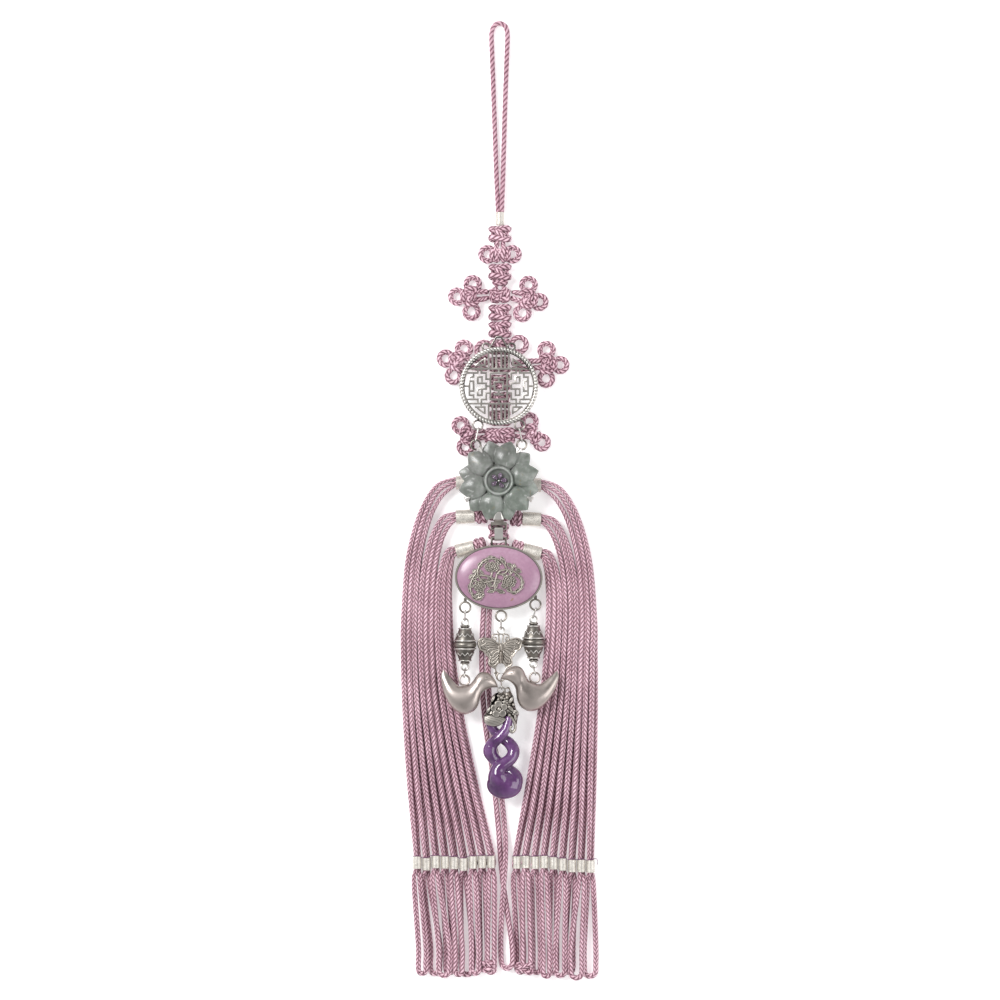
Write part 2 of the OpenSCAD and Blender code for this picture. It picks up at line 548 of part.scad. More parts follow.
// A U of wire whose bar lies across, with its legs towards the piece that holds it
module wire_u(bar_y, leg) {
    for (s = [-1, 1]) rod([s * (u_w - ring_wire) / 2, bar_y, strap_z], [s * (u_w - ring_wire) / 2, bar_y + leg, strap_z],
        ring_wire);
    rod([-u_w / 2, bar_y, strap_z], [u_w / 2, bar_y, strap_z], ring_wire);
}
module jade_mount() {
    plate_r = jade_d * 0.3;
    prong_y = jade_d / 2 * (valley_share + 0.105) + gap;
    arm_t = 0.8;
    color("silver") union() {
        translate([axis_x, jade_y, deck]) {
            cylinder(r = plate_r, h = arm_t, $fn = 64);
            for (a = CLAW_ANGLES) rotate(a) {
                translate([0, -claw_d, 0]) cube([claw_r + claw_d / 2, 2 * claw_d, arm_t]);
                translate([claw_r, 0, 0]) cylinder(d = claw_d, h = jade_t * 0.62, $fn = 20);
            }
            rotate(-90) translate([0, -1.6, 0]) cube([prong_y + 2.2, 3.2, arm_t]);
            translate([0, -prong_y, 0]) rotate([90, 0, 0]) linear_extrude(0.7)
                polygon([[-2, 0], [2, 0], [1.1, jade_t * 0.75], [-1.1, jade_t * 0.75]]);
            translate([-u_w / 2, -prong_y - 2.4, 0]) cube([u_w, 1.3, 1.7]);
            translate([-2, -prong_y - 1.3, 0]) cube([4, 1.4, 1.7]);
        }
        translate([axis_x, 0, 0]) wire_u(bar_u_y, jade_y - prong_y - 1.8 - bar_u_y);
        for (at = jade_rings) translate([at[0], at[1], deck + ring_wire / 2 + 0.1]) wire_ring(link_ring_d, ring_wire);
    }
}
module strap_link() {
    inner_r = ring_wire / 2 + gap;
    outer_r = inner_r + 0.45;
    color("silver") translate([axis_x - strap_w / 2, (bar_u_y + bail_u_y) / 2, strap_z]) rotate([90, 0, 90])
        linear_extrude(strap_w) difference() {
            stadium(bar_u_y - bail_u_y + 2 * outer_r, 2 * outer_r);
            stadium(bar_u_y - bail_u_y + 2 * inner_r, 2 * inner_r);
        }
}

// Plaque: bezel, cabochon and openwork silver vine
PLAQUE_TURN = -1.5;
back_t = 0.6;
module oval(w, h) {
    scale([w / h, 1]) circle(d = h, $fn = 72);
}
function rim_point(x) = [x, -plaque_h / 2 * sqrt(1 - pow(x / (plaque_w / 2), 2))];
plaque_rings = [for (x = [-12.6, 0.9, 13.8])
    let (rim = rim_point(x), out = unit([x * plaque_h / plaque_w * 0.35, -plaque_h / 2]))
    [axis_x, plaque_y] + rim + out * (plaque_ring_d / 2 + (abs(x) > 5 ? 0.6 : 0))];
module plaque_bezel() {
    color("silver") union() {
        translate([axis_x, plaque_y, deck]) rotate(PLAQUE_TURN) {
            linear_extrude(back_t) oval(plaque_w, plaque_h);
            linear_extrude(bezel_t) difference() {
                oval(plaque_w, plaque_h);
                oval(plaque_w - 2 * bezel_wall, plaque_h - 2 * bezel_wall);
            }
        }
        for (i = [0:2]) {
            at = plaque_rings[i];
            translate([at[0], at[1], deck + ring_wire / 2 + 0.2]) wire_ring(plaque_ring_d, ring_wire);
            translate([at[0] - 0.6, at[1] + plaque_ring_d / 2 - ring_wire, deck + 0.1])
                cube([1.2, i == 1 ? 1.3 : 2, ring_wire]);
        }
        translate([axis_x, 0, 0]) wire_u(bail_u_y, plaque_y + plaque_h / 2 - 0.5 - bail_u_y);
    }
}
// Rows of the cabochon from its rim to its top: [share of the outline, share of the rise]
DOME_ROWS = [[1, 0], [0.975, 0.3], [0.92, 0.57], [0.82, 0.78], [0.62, 0.92], [0.3, 0.99]];
module plaque() {
    steps = 36;
    a = plaque_w / 2 - bezel_wall - gap;
    b = plaque_h / 2 - bezel_wall - gap;
    wall = bezel_t - back_t - gap;
    rows = concat([[1, -wall]], [for (row = DOME_ROWS) [row[0], row[1] * dome_t]]);
    points = concat([for (row = rows, k = [0:steps - 1])
        [row[0] * a * cos(360 * k / steps), row[0] * b * sin(360 * k / steps), row[1]]], [[0, 0, dome_t]]);
    top = len(rows) * steps;
    walls = [for (i = [0:len(rows) - 2], k = [0:steps - 1])
        let (j = (k + 1) % steps)
        [i * steps + j, i * steps + k, (i + 1) * steps + k, (i + 1) * steps + j]];
    caps = [for (k = [0:steps - 1]) [top, (len(rows) - 1) * steps + (k + 1) % steps, (len(rows) - 1) * steps + k]];
    base = [[for (k = [0:steps - 1]) k]];
    color("plum") translate([axis_x, plaque_y, deck + bezel_t]) rotate(PLAQUE_TURN)
        polyhedron(points, concat(walls, caps, base), convexity = 4);
}
// Places on the vine in shares of half its width
VINE_BLOOMS = [[-0.12, 0.38, 0.26], [0.55, -0.22, 0.26], [-0.62, -0.42, 0.26]];
VINE_ARCS = [[-0.25, -0.05, 0.5, 20, 200], [0.32, 0.02, 0.46, -30, 190], [0, -0.25, 0.42, 10, 150],
    [-0.66, -0.2, 0.36, 60, 290], [0.66, -0.02, 0.36, -130, 110]];
VINE_LEAVES = [[0, -0.42, 0.17, 0], [-0.24, -0.36, 0.13, 40], [0.24, -0.36, 0.13, -40], [-0.78, 0.2, 0.15, 120],
    [-0.96, -0.2, 0.13, 90], [0.84, 0.3, 0.14, 60], [0.93, -0.1, 0.13, 90], [0.78, -0.5, 0.13, 30],
    [0.3, 0.52, 0.14, -20], [-0.36, 0.58, 0.14, 20], [-0.4, -0.62, 0.14, -30], [-0.86, -0.6, 0.12, 60]];
module plaque_applique() {
    half = vine_w / 2;
    vine_t = 0.8;
    color("dimgray") translate([axis_x, plaque_y + 0.6, deck + bezel_t + dome_t + 0.03]) rotate(PLAQUE_TURN) union() {
        for (arc = VINE_ARCS) translate([arc[0] * half, arc[1] * half, 0]) rotate(arc[3])
            rotate_extrude(angle = arc[4] - arc[3], $fn = 64) translate([arc[2] * half, 0]) square([0.7, vine_t]);
        for (bloom = VINE_BLOOMS) translate([bloom[0] * half, bloom[1] * half, 0]) {
            for (a = [0:60:300]) rotate(a) translate([bloom[2] * half * 0.55, 0, 0])
                cylinder(r = bloom[2] * half * 0.46, h = vine_t + 0.15, $fn = 20);
            cylinder(r = bloom[2] * half * 0.6, h = vine_t + 0.5, $fn = 24);
        }
        for (leaf = VINE_LEAVES) translate([leaf[0] * half, leaf[1] * half, 0]) rotate(leaf[3])
            linear_extrude(vine_t) scale([1.25, 0.75]) circle(leaf[2] * half, $fn = 24);
    }
}

// Drops: lanterns, birds, butterfly, cap and amethyst
hang_z = deck + ring_wire / 2 + 0.2;
lantern_z = lantern_d / 2;
small_wire = ring_wire;
function drop_x(side) = plaque_rings[side < 0 ? 0 : 2][0] + (side < 0 ? -0.1 : -0.75);
function ring_foot(at, outer_d) = at[1] - outer_d / 2 + ring_wire / 2;
function lantern_ring_y(side) =
    ring_foot(plaque_rings[side < 0 ? 0 : 2], plaque_ring_d) - link_span - small_ring_d / 2 + small_wire / 2;
function lantern_y(side) = lantern_ring_y(side) - small_ring_d / 2 + small_wire * 0.6 - lantern_l / 2;
function lower_ring_y(side) = lantern_y(side) - lantern_l / 2 - small_ring_d / 2 + small_wire * 0.6;
module lantern_link(side) {
    at = plaque_rings[side < 0 ? 0 : 2];
    from = [at[0], ring_foot(at, plaque_ring_d), hang_z];
    joining_link(from, [drop_x(side), from[1] - link_span, lantern_z]);
}
// Half outline of a lantern: [share of half the length, share of the radius]
LANTERN_ROWS = [[-1, 0], [-1, 0.4], [-0.9, 0.42], [-0.88, 0.36], [-0.84, 0.36], [-0.82, 0.55], [-0.76, 0.5],
    [-0.45, 0.79], [-0.3, 0.84], [-0.25, 0.98], [-0.17, 0.98], [-0.15, 0.9], [-0.08, 0.98], [0, 1], [0.08, 0.98],
    [0.15, 0.9], [0.17, 0.98], [0.25, 0.98], [0.3, 0.84], [0.45, 0.79], [0.76, 0.5], [0.82, 0.55], [0.84, 0.36],
    [0.88, 0.36], [0.9, 0.42], [1, 0.4], [1, 0]];
module lantern(side) {
    color("gray") union() {
        translate([drop_x(side), lantern_y(side), lantern_z]) rotate([-90, 0, 0]) rotate_extrude($fn = 48)
            polygon([for (row = LANTERN_ROWS) [row[1] * lantern_d / 2, row[0] * lantern_l / 2]]);
        for (y = [lantern_ring_y(side), lower_ring_y(side)])
            translate([drop_x(side), y, lantern_z]) wire_ring(small_ring_d, small_wire);
    }
}
bird_z = high_z + cord_r + bird_t * 0.51 + gap;
bird_ring_d = 4.8;
BIRD_TURN = [0, -10];
function bird_ring_y(side) =
    ring_foot([0, lower_ring_y(side)], small_ring_d) - link_span * 0.7 - bird_ring_d / 2 + ring_wire / 2;
function bird_ring_x(side) = drop_x(side) + (side < 0 ? -0.2 : 0.5);
module bird_link(side) {
    from = [drop_x(side), ring_foot([0, lower_ring_y(side)], small_ring_d), lantern_z];
    joining_link(from, [bird_ring_x(side), from[1] - link_span * 0.7, bird_z]);
}
// Sections of a bird from the tail to the beak, in shares of its length, with the head to the right:
// [belly x, belly y, back x, back y, half thickness]
BIRD_ROWS = [[-0.39, 0.488, -0.378, 0.496, 0.006], [-0.428, 0.4, -0.325, 0.435, 0.035],
    [-0.428, 0.308, -0.27, 0.365, 0.065], [-0.407, 0.172, -0.2, 0.28, 0.1], [-0.365, 0.036, -0.13, 0.215, 0.13],
    [-0.29, -0.11, -0.06, 0.2, 0.15], [-0.161, -0.25, 0.01, 0.212, 0.163], [-0.002, -0.308, 0.055, 0.222, 0.168],
    [0.141, -0.258, 0.095, 0.242, 0.165], [0.225, -0.16, 0.13, 0.285, 0.158], [0.27, -0.03, 0.165, 0.33, 0.148],
    [0.305, 0.065, 0.205, 0.378, 0.14], [0.36, 0.14, 0.262, 0.42, 0.13], [0.42, 0.18, 0.34, 0.433, 0.118],
    [0.475, 0.192, 0.43, 0.405, 0.1], [0.525, 0.184, 0.51, 0.34, 0.07], [0.56, 0.178, 0.565, 0.26, 0.04],
    [0.586, 0.172, 0.59, 0.182, 0.006]];
BIRD_RING = [-0.01, 0.305];
module bird(side) {
    turn = BIRD_TURN[side < 0 ? 0 : 1];
    thick = bird_t / 0.33;
    color("lightgray") translate([bird_ring_x(side), bird_ring_y(side), bird_z]) union() {
        wire_ring(bird_ring_d, ring_wire);
        rotate(turn) mirror([side < 0 ? 0 : 1, 0, 0]) translate([-BIRD_RING[0], -BIRD_RING[1], -0.01] * bird_l)
            skin([for (row = BIRD_ROWS) [for (k = [0:11])
                let (a = 90 + 30 * k, belly = [row[0], row[1]] * bird_l, back = [row[2], row[3]] * bird_l)
                let (place = (belly + back) / 2 + cos(a) * (belly - back) / 2)
                [place[0], place[1], sin(a) * row[4] * thick]]]);
    }
}
butterfly_x = plaque_rings[1][0];
butterfly_z = 2 * cord_r + gap + 0.5;
butterfly_ring_y = ring_foot(plaque_rings[1], plaque_ring_d) - link_span - small_ring_d / 2 + small_wire / 2;
butterfly_foot_y = -18.4;
module butterfly_link() {
    from = [butterfly_x, ring_foot(plaque_rings[1], plaque_ring_d), hang_z];
    joining_link(from, [butterfly_x, from[1] - link_span, butterfly_z + wing_t / 2]);
}
// Lobes of a wing, each the hull of circles [x, y, radius] in shares of the half width below the top ring
WING_LOBES = [
    [[0.08, -0.62, 0.1], [0.74, -0.42, 0.24], [0.84, -0.58, 0.16], [0.62, -0.82, 0.22]],
    [[0.06, -0.95, 0.12], [0.5, -1.0, 0.2], [0.44, -1.4, 0.2], [0.3, -1.6, 0.16]],
];
module butterfly() {
    s = wing_span;
    color("gray") translate([butterfly_x, butterfly_ring_y, butterfly_z]) union() {
        translate([0, 0, wing_t / 2]) wire_ring(small_ring_d, small_wire);
        translate([0, butterfly_foot_y, wing_t / 2]) wire_ring(4.4, ring_wire);
        linear_extrude(wing_t) difference() {
            union() {
                for (side = [0, 1]) mirror([side, 0]) {
                    for (lobe = WING_LOBES) hull() for (c = lobe) translate([c[0], c[1]] * s) circle(c[2] * s, $fn = 28);
                    translate([0.24 * s, -0.34 * s]) difference() {
                        circle(0.15 * s, $fn = 24);
                        circle(0.06 * s, $fn = 24);
                    }
                    translate([0.03 * s, -0.62 * s]) rotate(12) square([0.08 * s, 0.44 * s]);
                }
                translate([0, -1.76 * s]) circle(0.33 * s, $fn = 32);
                for (side = [-1, 1]) translate([side * 2.2, butterfly_foot_y + 1.2]) circle(0.55, $fn = 20);
            }
            translate([0, -1.76 * s]) circle(0.22 * s, $fn = 32);
        }
        translate([0, -0.56 * s, wing_t]) rotate([90, 0, 0]) cylinder(r = 0.075 * s, h = 0.95 * s, $fn = 20);
    }
}
cap_x = butterfly_x + 0.2;
cap_ring_y = butterfly_ring_y + butterfly_foot_y - 5.3;
cap_z = 2 * cord_r + gap + 5;
cap_ring_z = cap_z - 1.2;
module cap_link() {
    from = [butterfly_x, butterfly_ring_y + butterfly_foot_y - 1.8, butterfly_z + wing_t / 2];
    joining_link(from, [cap_x, cap_ring_y + small_ring_d / 2 - ring_wire / 2, cap_ring_z]);
}
cap_top = cap_ring_y - small_ring_d / 2 + 0.6;
module cap_shell(grow) {
    wall = 0.8;
    r = cap_h * 0.21 - (grow ? 0 : wall);
    hull() {
        translate([0, -cap_h * 0.2, 0]) sphere(r, $fn = 14);
        for (s = [-1, 1]) translate([s * (cap_w * 0.5 - cap_h * 0.21), -cap_h * (grow ? 0.72 : 0.95), 0]) sphere(r + 0.2, $fn = 14);
    }
}
module cap() {
    color("gray") union() {
        translate([cap_x, cap_ring_y, cap_ring_z]) wire_ring(small_ring_d, ring_wire);
        translate([cap_x, cap_top, cap_z]) {
            difference() {
                cap_shell(true);
                cap_shell(false);
            }
            translate([-1.6, -cap_h * 0.5, cap_h * 0.2]) {
                for (a = [18:72:306]) rotate(a) translate([1.9, 0, 0]) cylinder(r = 1.15, h = 1, $fn = 20);
                cylinder(r = 1.1, h = 1.6, $fn = 20);
            }
        }
    }
}
// The amethyst: two strands that cross twice and join in a rounded drop
// Middle line of a strand as [x, y, z] in shares of the length, mirrored for the other strand, and its radius
// in shares of the strand's thickness
STRAND_ROWS = [[-0.12, 0.02, 0, 0.3], [-0.08, -0.07, 0.02, 0.36], [0, -0.17, 0.06, 0.46], [0.13, -0.28, 0.03, 0.5],
    [0.165, -0.4, 0, 0.5], [0.13, -0.51, -0.03, 0.5], [0.02, -0.61, -0.05, 0.5], [-0.06, -0.7, 0, 0.5]];
module amethyst() {
    l = amethyst_l;
    z = cap_z;
    color("rebeccapurple") translate([cap_x, cap_top - cap_h * 0.79, z]) union() {
        for (turn = [0, 1]) mirror([turn, 0, 0]) for (i = [0:len(STRAND_ROWS) - 2]) hull() for (n = [i, i + 1])
            translate([STRAND_ROWS[n][0], STRAND_ROWS[n][1], STRAND_ROWS[n][2] * (turn ? -1 : 1)] * l)
                sphere(STRAND_ROWS[n][3] * strand_d, $fn = 10);
        hull() for (p = [[-0.04, -0.74], [0.08, -0.76], [0.02, -0.84], [0.06, -0.68]])
            translate([p[0], p[1], 0] * l) sphere(4.4, $fn = 12);
    }
}

hanging_loop();
top_wrap();
translate([0, knot_a_y, 0]) column_knot(0);  // knot_a
ear_knot();
translate([0, knot_b_y, 0]) column_knot(neck_l);  // knot_b
cross_knot();
translate([0, knot_c_y, 0]) column_knot(0);  // knot_c
translate([0, knot_d_y, 0]) column_knot(0);  // knot_d
clover([-11.6, cross_y - 0.7], [[82, 5], [180, 5.5], [272, 6]], [11.6 - clover_w / 2 - 0.7, 0.7]);  // clover_left
clover([11, cross_y - 1.6], [[86, 5.6], [-15, 4.9], [250, 6]], [clover_w / 2 + 0.8 - 11, 1.6]);  // clover_right
back_knot();
clover([-16.4, roundel_y + 10.1], [[68, 5.4], [168, 5.4], [250, 6.2]], [11.7, -2]);  // clover_upper_left
clover([18.6, roundel_y + 9.1], [[90, 5.5], [-5, 5.5], [268, 6]], [-14.1, -1]);  // clover_upper_right
clover([-12.1, roundel_y - 19.4], [[133, 5.3], [250, 5]], [5, 0.4]);  // clover_lower_left
clover([12.5, roundel_y - 19.1], [[98, 5.2], [-38, 5.3]], [-5.3, 0.6]);  // clover_lower_right
cord_column();
for (k = [0:2]) {
    bundle(-1, k);
    bundle(1, k);
    wrap(-1, k);
    wrap(1, k);
}
centre_loop();
bands(-1);  // bands_left
bands(1);  // bands_right
roundel();
for (s = [0, 1]) joining_link([roundel_rings[s][0], roundel_rings[s][1] - link_ring_d / 2 + ring_wire / 2, deck + 0.5],
        [jade_rings[s][0], jade_rings[s][1] + link_ring_d / 2 - ring_wire / 2, deck + 0.5]);
jade_mount();
jade_flower();
flower_centre();
strap_link();
plaque_bezel();
plaque();
plaque_applique();
lantern_link(-1);  // lantern_link_left
lantern(-1);  // lantern_left
bird_link(-1);  // bird_link_left
bird(-1);  // bird_left
lantern_link(1);  // lantern_link_right
lantern(1);  // lantern_right
bird_link(1);  // bird_link_right
bird(1);  // bird_right
butterfly_link();
butterfly();
cap_link();
cap();
amethyst();
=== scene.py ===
import bpy
import math
import numpy as np
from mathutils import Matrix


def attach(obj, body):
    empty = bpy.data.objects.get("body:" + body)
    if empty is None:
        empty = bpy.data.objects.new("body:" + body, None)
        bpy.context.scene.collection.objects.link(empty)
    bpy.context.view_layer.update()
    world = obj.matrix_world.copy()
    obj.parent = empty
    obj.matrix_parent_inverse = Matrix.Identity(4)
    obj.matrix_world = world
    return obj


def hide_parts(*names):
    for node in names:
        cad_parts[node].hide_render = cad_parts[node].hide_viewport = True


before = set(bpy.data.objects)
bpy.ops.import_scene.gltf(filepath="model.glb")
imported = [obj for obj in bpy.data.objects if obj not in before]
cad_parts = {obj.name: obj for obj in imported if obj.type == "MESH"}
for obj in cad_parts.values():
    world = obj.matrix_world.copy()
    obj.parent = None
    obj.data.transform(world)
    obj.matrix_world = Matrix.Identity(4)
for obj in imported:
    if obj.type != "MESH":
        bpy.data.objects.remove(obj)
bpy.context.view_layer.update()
bpy.ops.object.select_all(action="DESELECT")

# Camera: straight above the norigae as it lies on its back, with the hanging loop at the top of the picture.
# A long lens from over a metre away keeps the flat outline of the product photograph.
MM = 0.001
VIEW_MIDDLE_Y, VIEW_HEIGHT = 0.0374, 1.334
bpy.ops.object.camera_add(location=(0, VIEW_MIDDLE_Y, VIEW_HEIGHT), rotation=(0, 0, 0))
camera = bpy.context.object
camera.data.lens = 120
camera.data.sensor_width = 36
camera.data.clip_start = 0.05
bpy.context.scene.camera = camera

# Hanging loop: two legs of one cord, laid up from three twisted strands of dyed silk.
# It leaves the silver wrap, runs round its apex and goes back into the wrap.
HANG_FOOT = 152.5
HANG_FRONT = [(0.75, 0, 2.4), (0.9, 6, 2.2), (1.2, 14, 1.6), (1.6, 28, 1.1), (2, 42, 1.1), (2.5, 56, 1.1),
    (2.8, 64, 1.1), (3, 69, 1.1), (2.9, 72, 1.1), (2, 74.5, 1.1)]
HANG_APEX = [(-0.2, 75.55, 1.1)]
HANG_BACK = [(-2.3, 74.5, 1.1), (-3.3, 72, 1.1), (-3.4, 69, 1.1), (-3.2, 64, 1.1), (-2.9, 56, 1.1),
    (-2.4, 42, 1.1), (-1.9, 28, 1.1), (-1.4, 14, 1.1), (-1, 6, 1.1), (-0.75, 0, 1.05)]
HANG_D = 1.9
PLAIT = 1.75


def smooth_path(points, closed=False, parts=12):
    """A fine line through given points, rounded as a soft cord rounds them."""
    p = np.array(points, float)
    n = len(p)
    fine = []
    for i in range(n if closed else n - 1):
        a = p[(i - 1) % n] if closed or i else 2 * p[0] - p[1]
        b, c = p[i], p[(i + 1) % n]
        d = p[(i + 2) % n] if closed or i < n - 2 else 2 * p[-1] - p[-2]
        for k in range(parts):
            t = k / parts
            fine.append(0.5 * (2 * b + (c - a) * t + (2 * a - 5 * b + 4 * c - d) * t * t
                + (3 * b - a - 3 * c + d) * t ** 3))
    fine.append(p[0] if closed else p[-1])
    return np.array(fine)


def even_path(fine, step, closed=False):
    """The same line with points an even step apart, and the length run so far at each."""
    run = np.concatenate([[0], np.cumsum(np.linalg.norm(np.diff(fine, axis=0), axis=1))])
    count = max(int(round(run[-1] / step)), 4)
    if closed:
        count += count % 2
    marks = np.linspace(0, run[-1], count + 1)
    spots = np.stack([np.interp(marks, run, fine[:, k]) for k in range(3)], 1)
    return (spots[:-1], marks[:-1]) if closed else (spots, marks)


def carried_frames(spots, closed=False):
    """Directions across a cord that turn with it and never twist by themselves."""
    if closed:
        along = np.roll(spots, -1, 0) - np.roll(spots, 1, 0)
    else:
        along = np.gradient(spots, axis=0)
    along /= np.linalg.norm(along, axis=1)[:, None]
    up = np.zeros_like(along)
    start = np.cross(np.cross(along[0], [0, 0, 1]), along[0])
    if np.linalg.norm(start) < 0.2:
        start = np.cross(along[0], [1, 0, 0])
    up[0] = start / np.linalg.norm(start)
    for i in range(1, len(spots)):
        v = up[i - 1] - np.dot(up[i - 1], along[i]) * along[i]
        up[i] = v / np.linalg.norm(v)
    if closed:
        miss = up[-1] - np.dot(up[-1], along[0]) * along[0]
        side = np.cross(along[0], up[0])
        angle = math.atan2(np.dot(miss, side), np.dot(miss, up[0]))
        for i in range(len(spots)):
            a = -angle * i / len(spots)
            up[i] = math.cos(a) * up[i] + math.sin(a) * np.cross(along[i], up[i])
    return along, up, np.cross(along, up)


class Skein:
    """Gathers the strands of one piece into a single mesh with a map that runs round and along each cord."""

    def __init__(self):
        self.verts, self.faces, self.uvs, self.count = [], [], [], 0

    def add_rings(self, rings, lengths, closed=False):
        """Joins rings of points to a tube, closed at both ends or run together with its start."""
        n, sides = rings.shape[:2]
        self.verts.append(rings.reshape(-1, 3))
        for i in range(n if closed else n - 1):
            a, b = self.count + i * sides, self.count + ((i + 1) % n) * sides
            va = lengths[i]
            vb = lengths[i + 1] if i < n - 1 else 2 * lengths[-1] - lengths[-2]
            for k in range(sides):
                j = (k + 1) % sides
                ua, ub = k / sides, k / sides + 1 / sides
                self.faces.append((a + k, b + k, b + j, a + j))
                self.uvs += [(ua, va), (ua, vb), (ub, vb), (ub, va)]
        if not closed:
            for row, order in ((0, range(sides)), (n - 1, range(sides - 1, -1, -1))):
                self.faces.append(tuple(self.count + row * sides + k for k in order))
                self.uvs += [(k / sides, lengths[row]) for k in order]
        self.count += n * sides

    def twisted(self, points, r, lay, strands=3, step=0.55, sides=15, depth=0.2, closed=False):
        """A cord of strands laid round each other."""
        spots, marks = even_path(smooth_path(points, closed), step, closed)
        if closed:
            lay = (marks[-1] + step) / max(round((marks[-1] + step) / lay), 1)
        up, across = carried_frames(spots, closed)[1:]
        rings = np.zeros((len(spots), sides, 3))
        for k in range(sides):
            a = 2 * math.pi * k / sides
            turn = a + 2 * math.pi * marks / lay
            bulge = np.abs(np.cos(strands * turn / 2)) ** 0.7
            radius = r * (1 - depth + depth * bulge)
            rings[:, k] = spots + radius[:, None] * (math.cos(a) * up - math.sin(a) * across)
        self.add_rings(rings, marks / lay, closed)

    def braided(self, points, r, radii=None, closed=False, fine=None):
        """A round plaited cord: four columns of slanting lobes, each column half a row on from the next."""
        line = smooth_path(points, closed) if fine is None else fine
        spots, marks = even_path(line, PLAIT / 2, closed)
        along, up, across = carried_frames(spots, closed)
        size = np.full(len(spots), r)
        if radii:
            size = np.interp(np.linspace(0, 1, len(spots)), radii[0], radii[1])
        sides = 12
        rings = np.zeros((len(spots), sides, 3))
        odd = np.arange(len(spots)) % 2
        roll = 0.8 * math.sin(self.count)
        settled = np.ones(len(spots))
        if not closed:
            settled = np.clip(np.minimum(np.arange(len(spots)), np.arange(len(spots))[::-1]) / 2, 0, 1)
            size = size * (0.55 + 0.45 * settled)
        for k in range(sides):
            a = 2 * math.pi * k / sides + roll
            column, share = divmod(k, 3)
            slant = share / 3 if column % 2 == 0 else 1 - share / 3
            radius = size * (0.96 if share == 0 else np.where((odd + column) % 2, 0.92, 1.05))
            rings[:, k] = spots + radius[:, None] * (math.cos(a) * up - math.sin(a) * across) \
                + along * (settled * (slant - 0.5) * 1.15 * PLAIT)[:, None]
        self.add_rings(rings, marks / PLAIT, closed)

    def piece(self, name, material, nodes):
        """The gathered strands as one finished piece."""
        made = new_object(name, np.concatenate(self.verts), self.faces)
        mesh = made.data
        layer = mesh.uv_layers.new(name="UVMap")
        layer.data.foreach_set("uv", np.array(self.uvs, np.float32).ravel())
        mesh.polygons.foreach_set("use_smooth", [True] * len(mesh.polygons))
        mesh.materials.append(material)
        mesh.validate()
        settle(made, nodes)
        return made


def new_object(name, verts, faces):
    """An object at the origin from a mesh given in millimetres."""
    mesh = bpy.data.meshes.new(name)
    mesh.from_pydata((np.array(verts, float) * MM).tolist(), [], faces)
    made = bpy.data.objects.new(name, mesh)
    bpy.context.scene.collection.objects.link(made)
    return made


def settle(made, nodes=()):
    """Lets a piece ride on the norigae and hides the CAD nodes it stands for."""
    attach(made, "root")
    if nodes:
        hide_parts(*nodes)


def new_material(name, **values):
    """A Principled material with its constant values set on the shader's own sockets."""
    made = bpy.data.materials.new(name)
    made.use_nodes = True
    shader = made.node_tree.nodes["Principled BSDF"]
    for key, value in values.items():
        shader.inputs[key.replace("_", " ")].default_value = value
    return made, made.node_tree, shader


def add_node(tree, kind, **settings):
    """A node with its own settings and its inputs' values."""
    made = tree.nodes.new(kind)
    for key, value in settings.items():
        if key in made.bl_rna.properties.keys():
            setattr(made, key, value)
        else:
            made.inputs[key.replace("_", " ")].default_value = value
    return made


def maths(tree, operation, a, b=0.0):
    """One step of arithmetic between patterns or plain numbers."""
    made = tree.nodes.new("ShaderNodeMath")
    made.operation = operation
    for i, value in enumerate((a, b)):
        if isinstance(value, (int, float)):
            made.inputs[i].default_value = value
        else:
            tree.links.new(value, made.inputs[i])
    return made.outputs[0]


def colour_ramp(tree, source, stops):
    """Colours by the value of a pattern."""
    made = tree.nodes.new("ShaderNodeValToRGB")
    ramp = made.color_ramp
    while len(ramp.elements) < len(stops):
        ramp.elements.new(0.5)
    for element, (place, colour) in zip(ramp.elements, stops):
        element.position = place
        element.color = (*colour, 1)
    tree.links.new(source, made.inputs[0])
    return made.outputs[0]


def noise(tree, place, **settings):
    """A noise that stays where it is on the piece."""
    made = add_node(tree, "ShaderNodeTexNoise", **settings)
    tree.links.new(place.outputs["Object"], made.inputs["Vector"])
    return made.outputs[0]


def blend(tree, *parts):
    """The sum of several patterns, each times its weight."""
    total = None
    for pattern, weight in parts:
        part = maths(tree, "MULTIPLY", pattern, weight)
        total = maths(tree, "ADD", total, part) if total else part
    return total


def bumped(tree, shader, height, strength, distance):
    """Fine relief of the surface by a pattern."""
    made = tree.nodes.new("ShaderNodeBump")
    made.inputs["Strength"].default_value = strength
    made.inputs["Distance"].default_value = distance
    tree.links.new(height, made.inputs["Height"])
    tree.links.new(made.outputs[0], shader.inputs["Normal"])


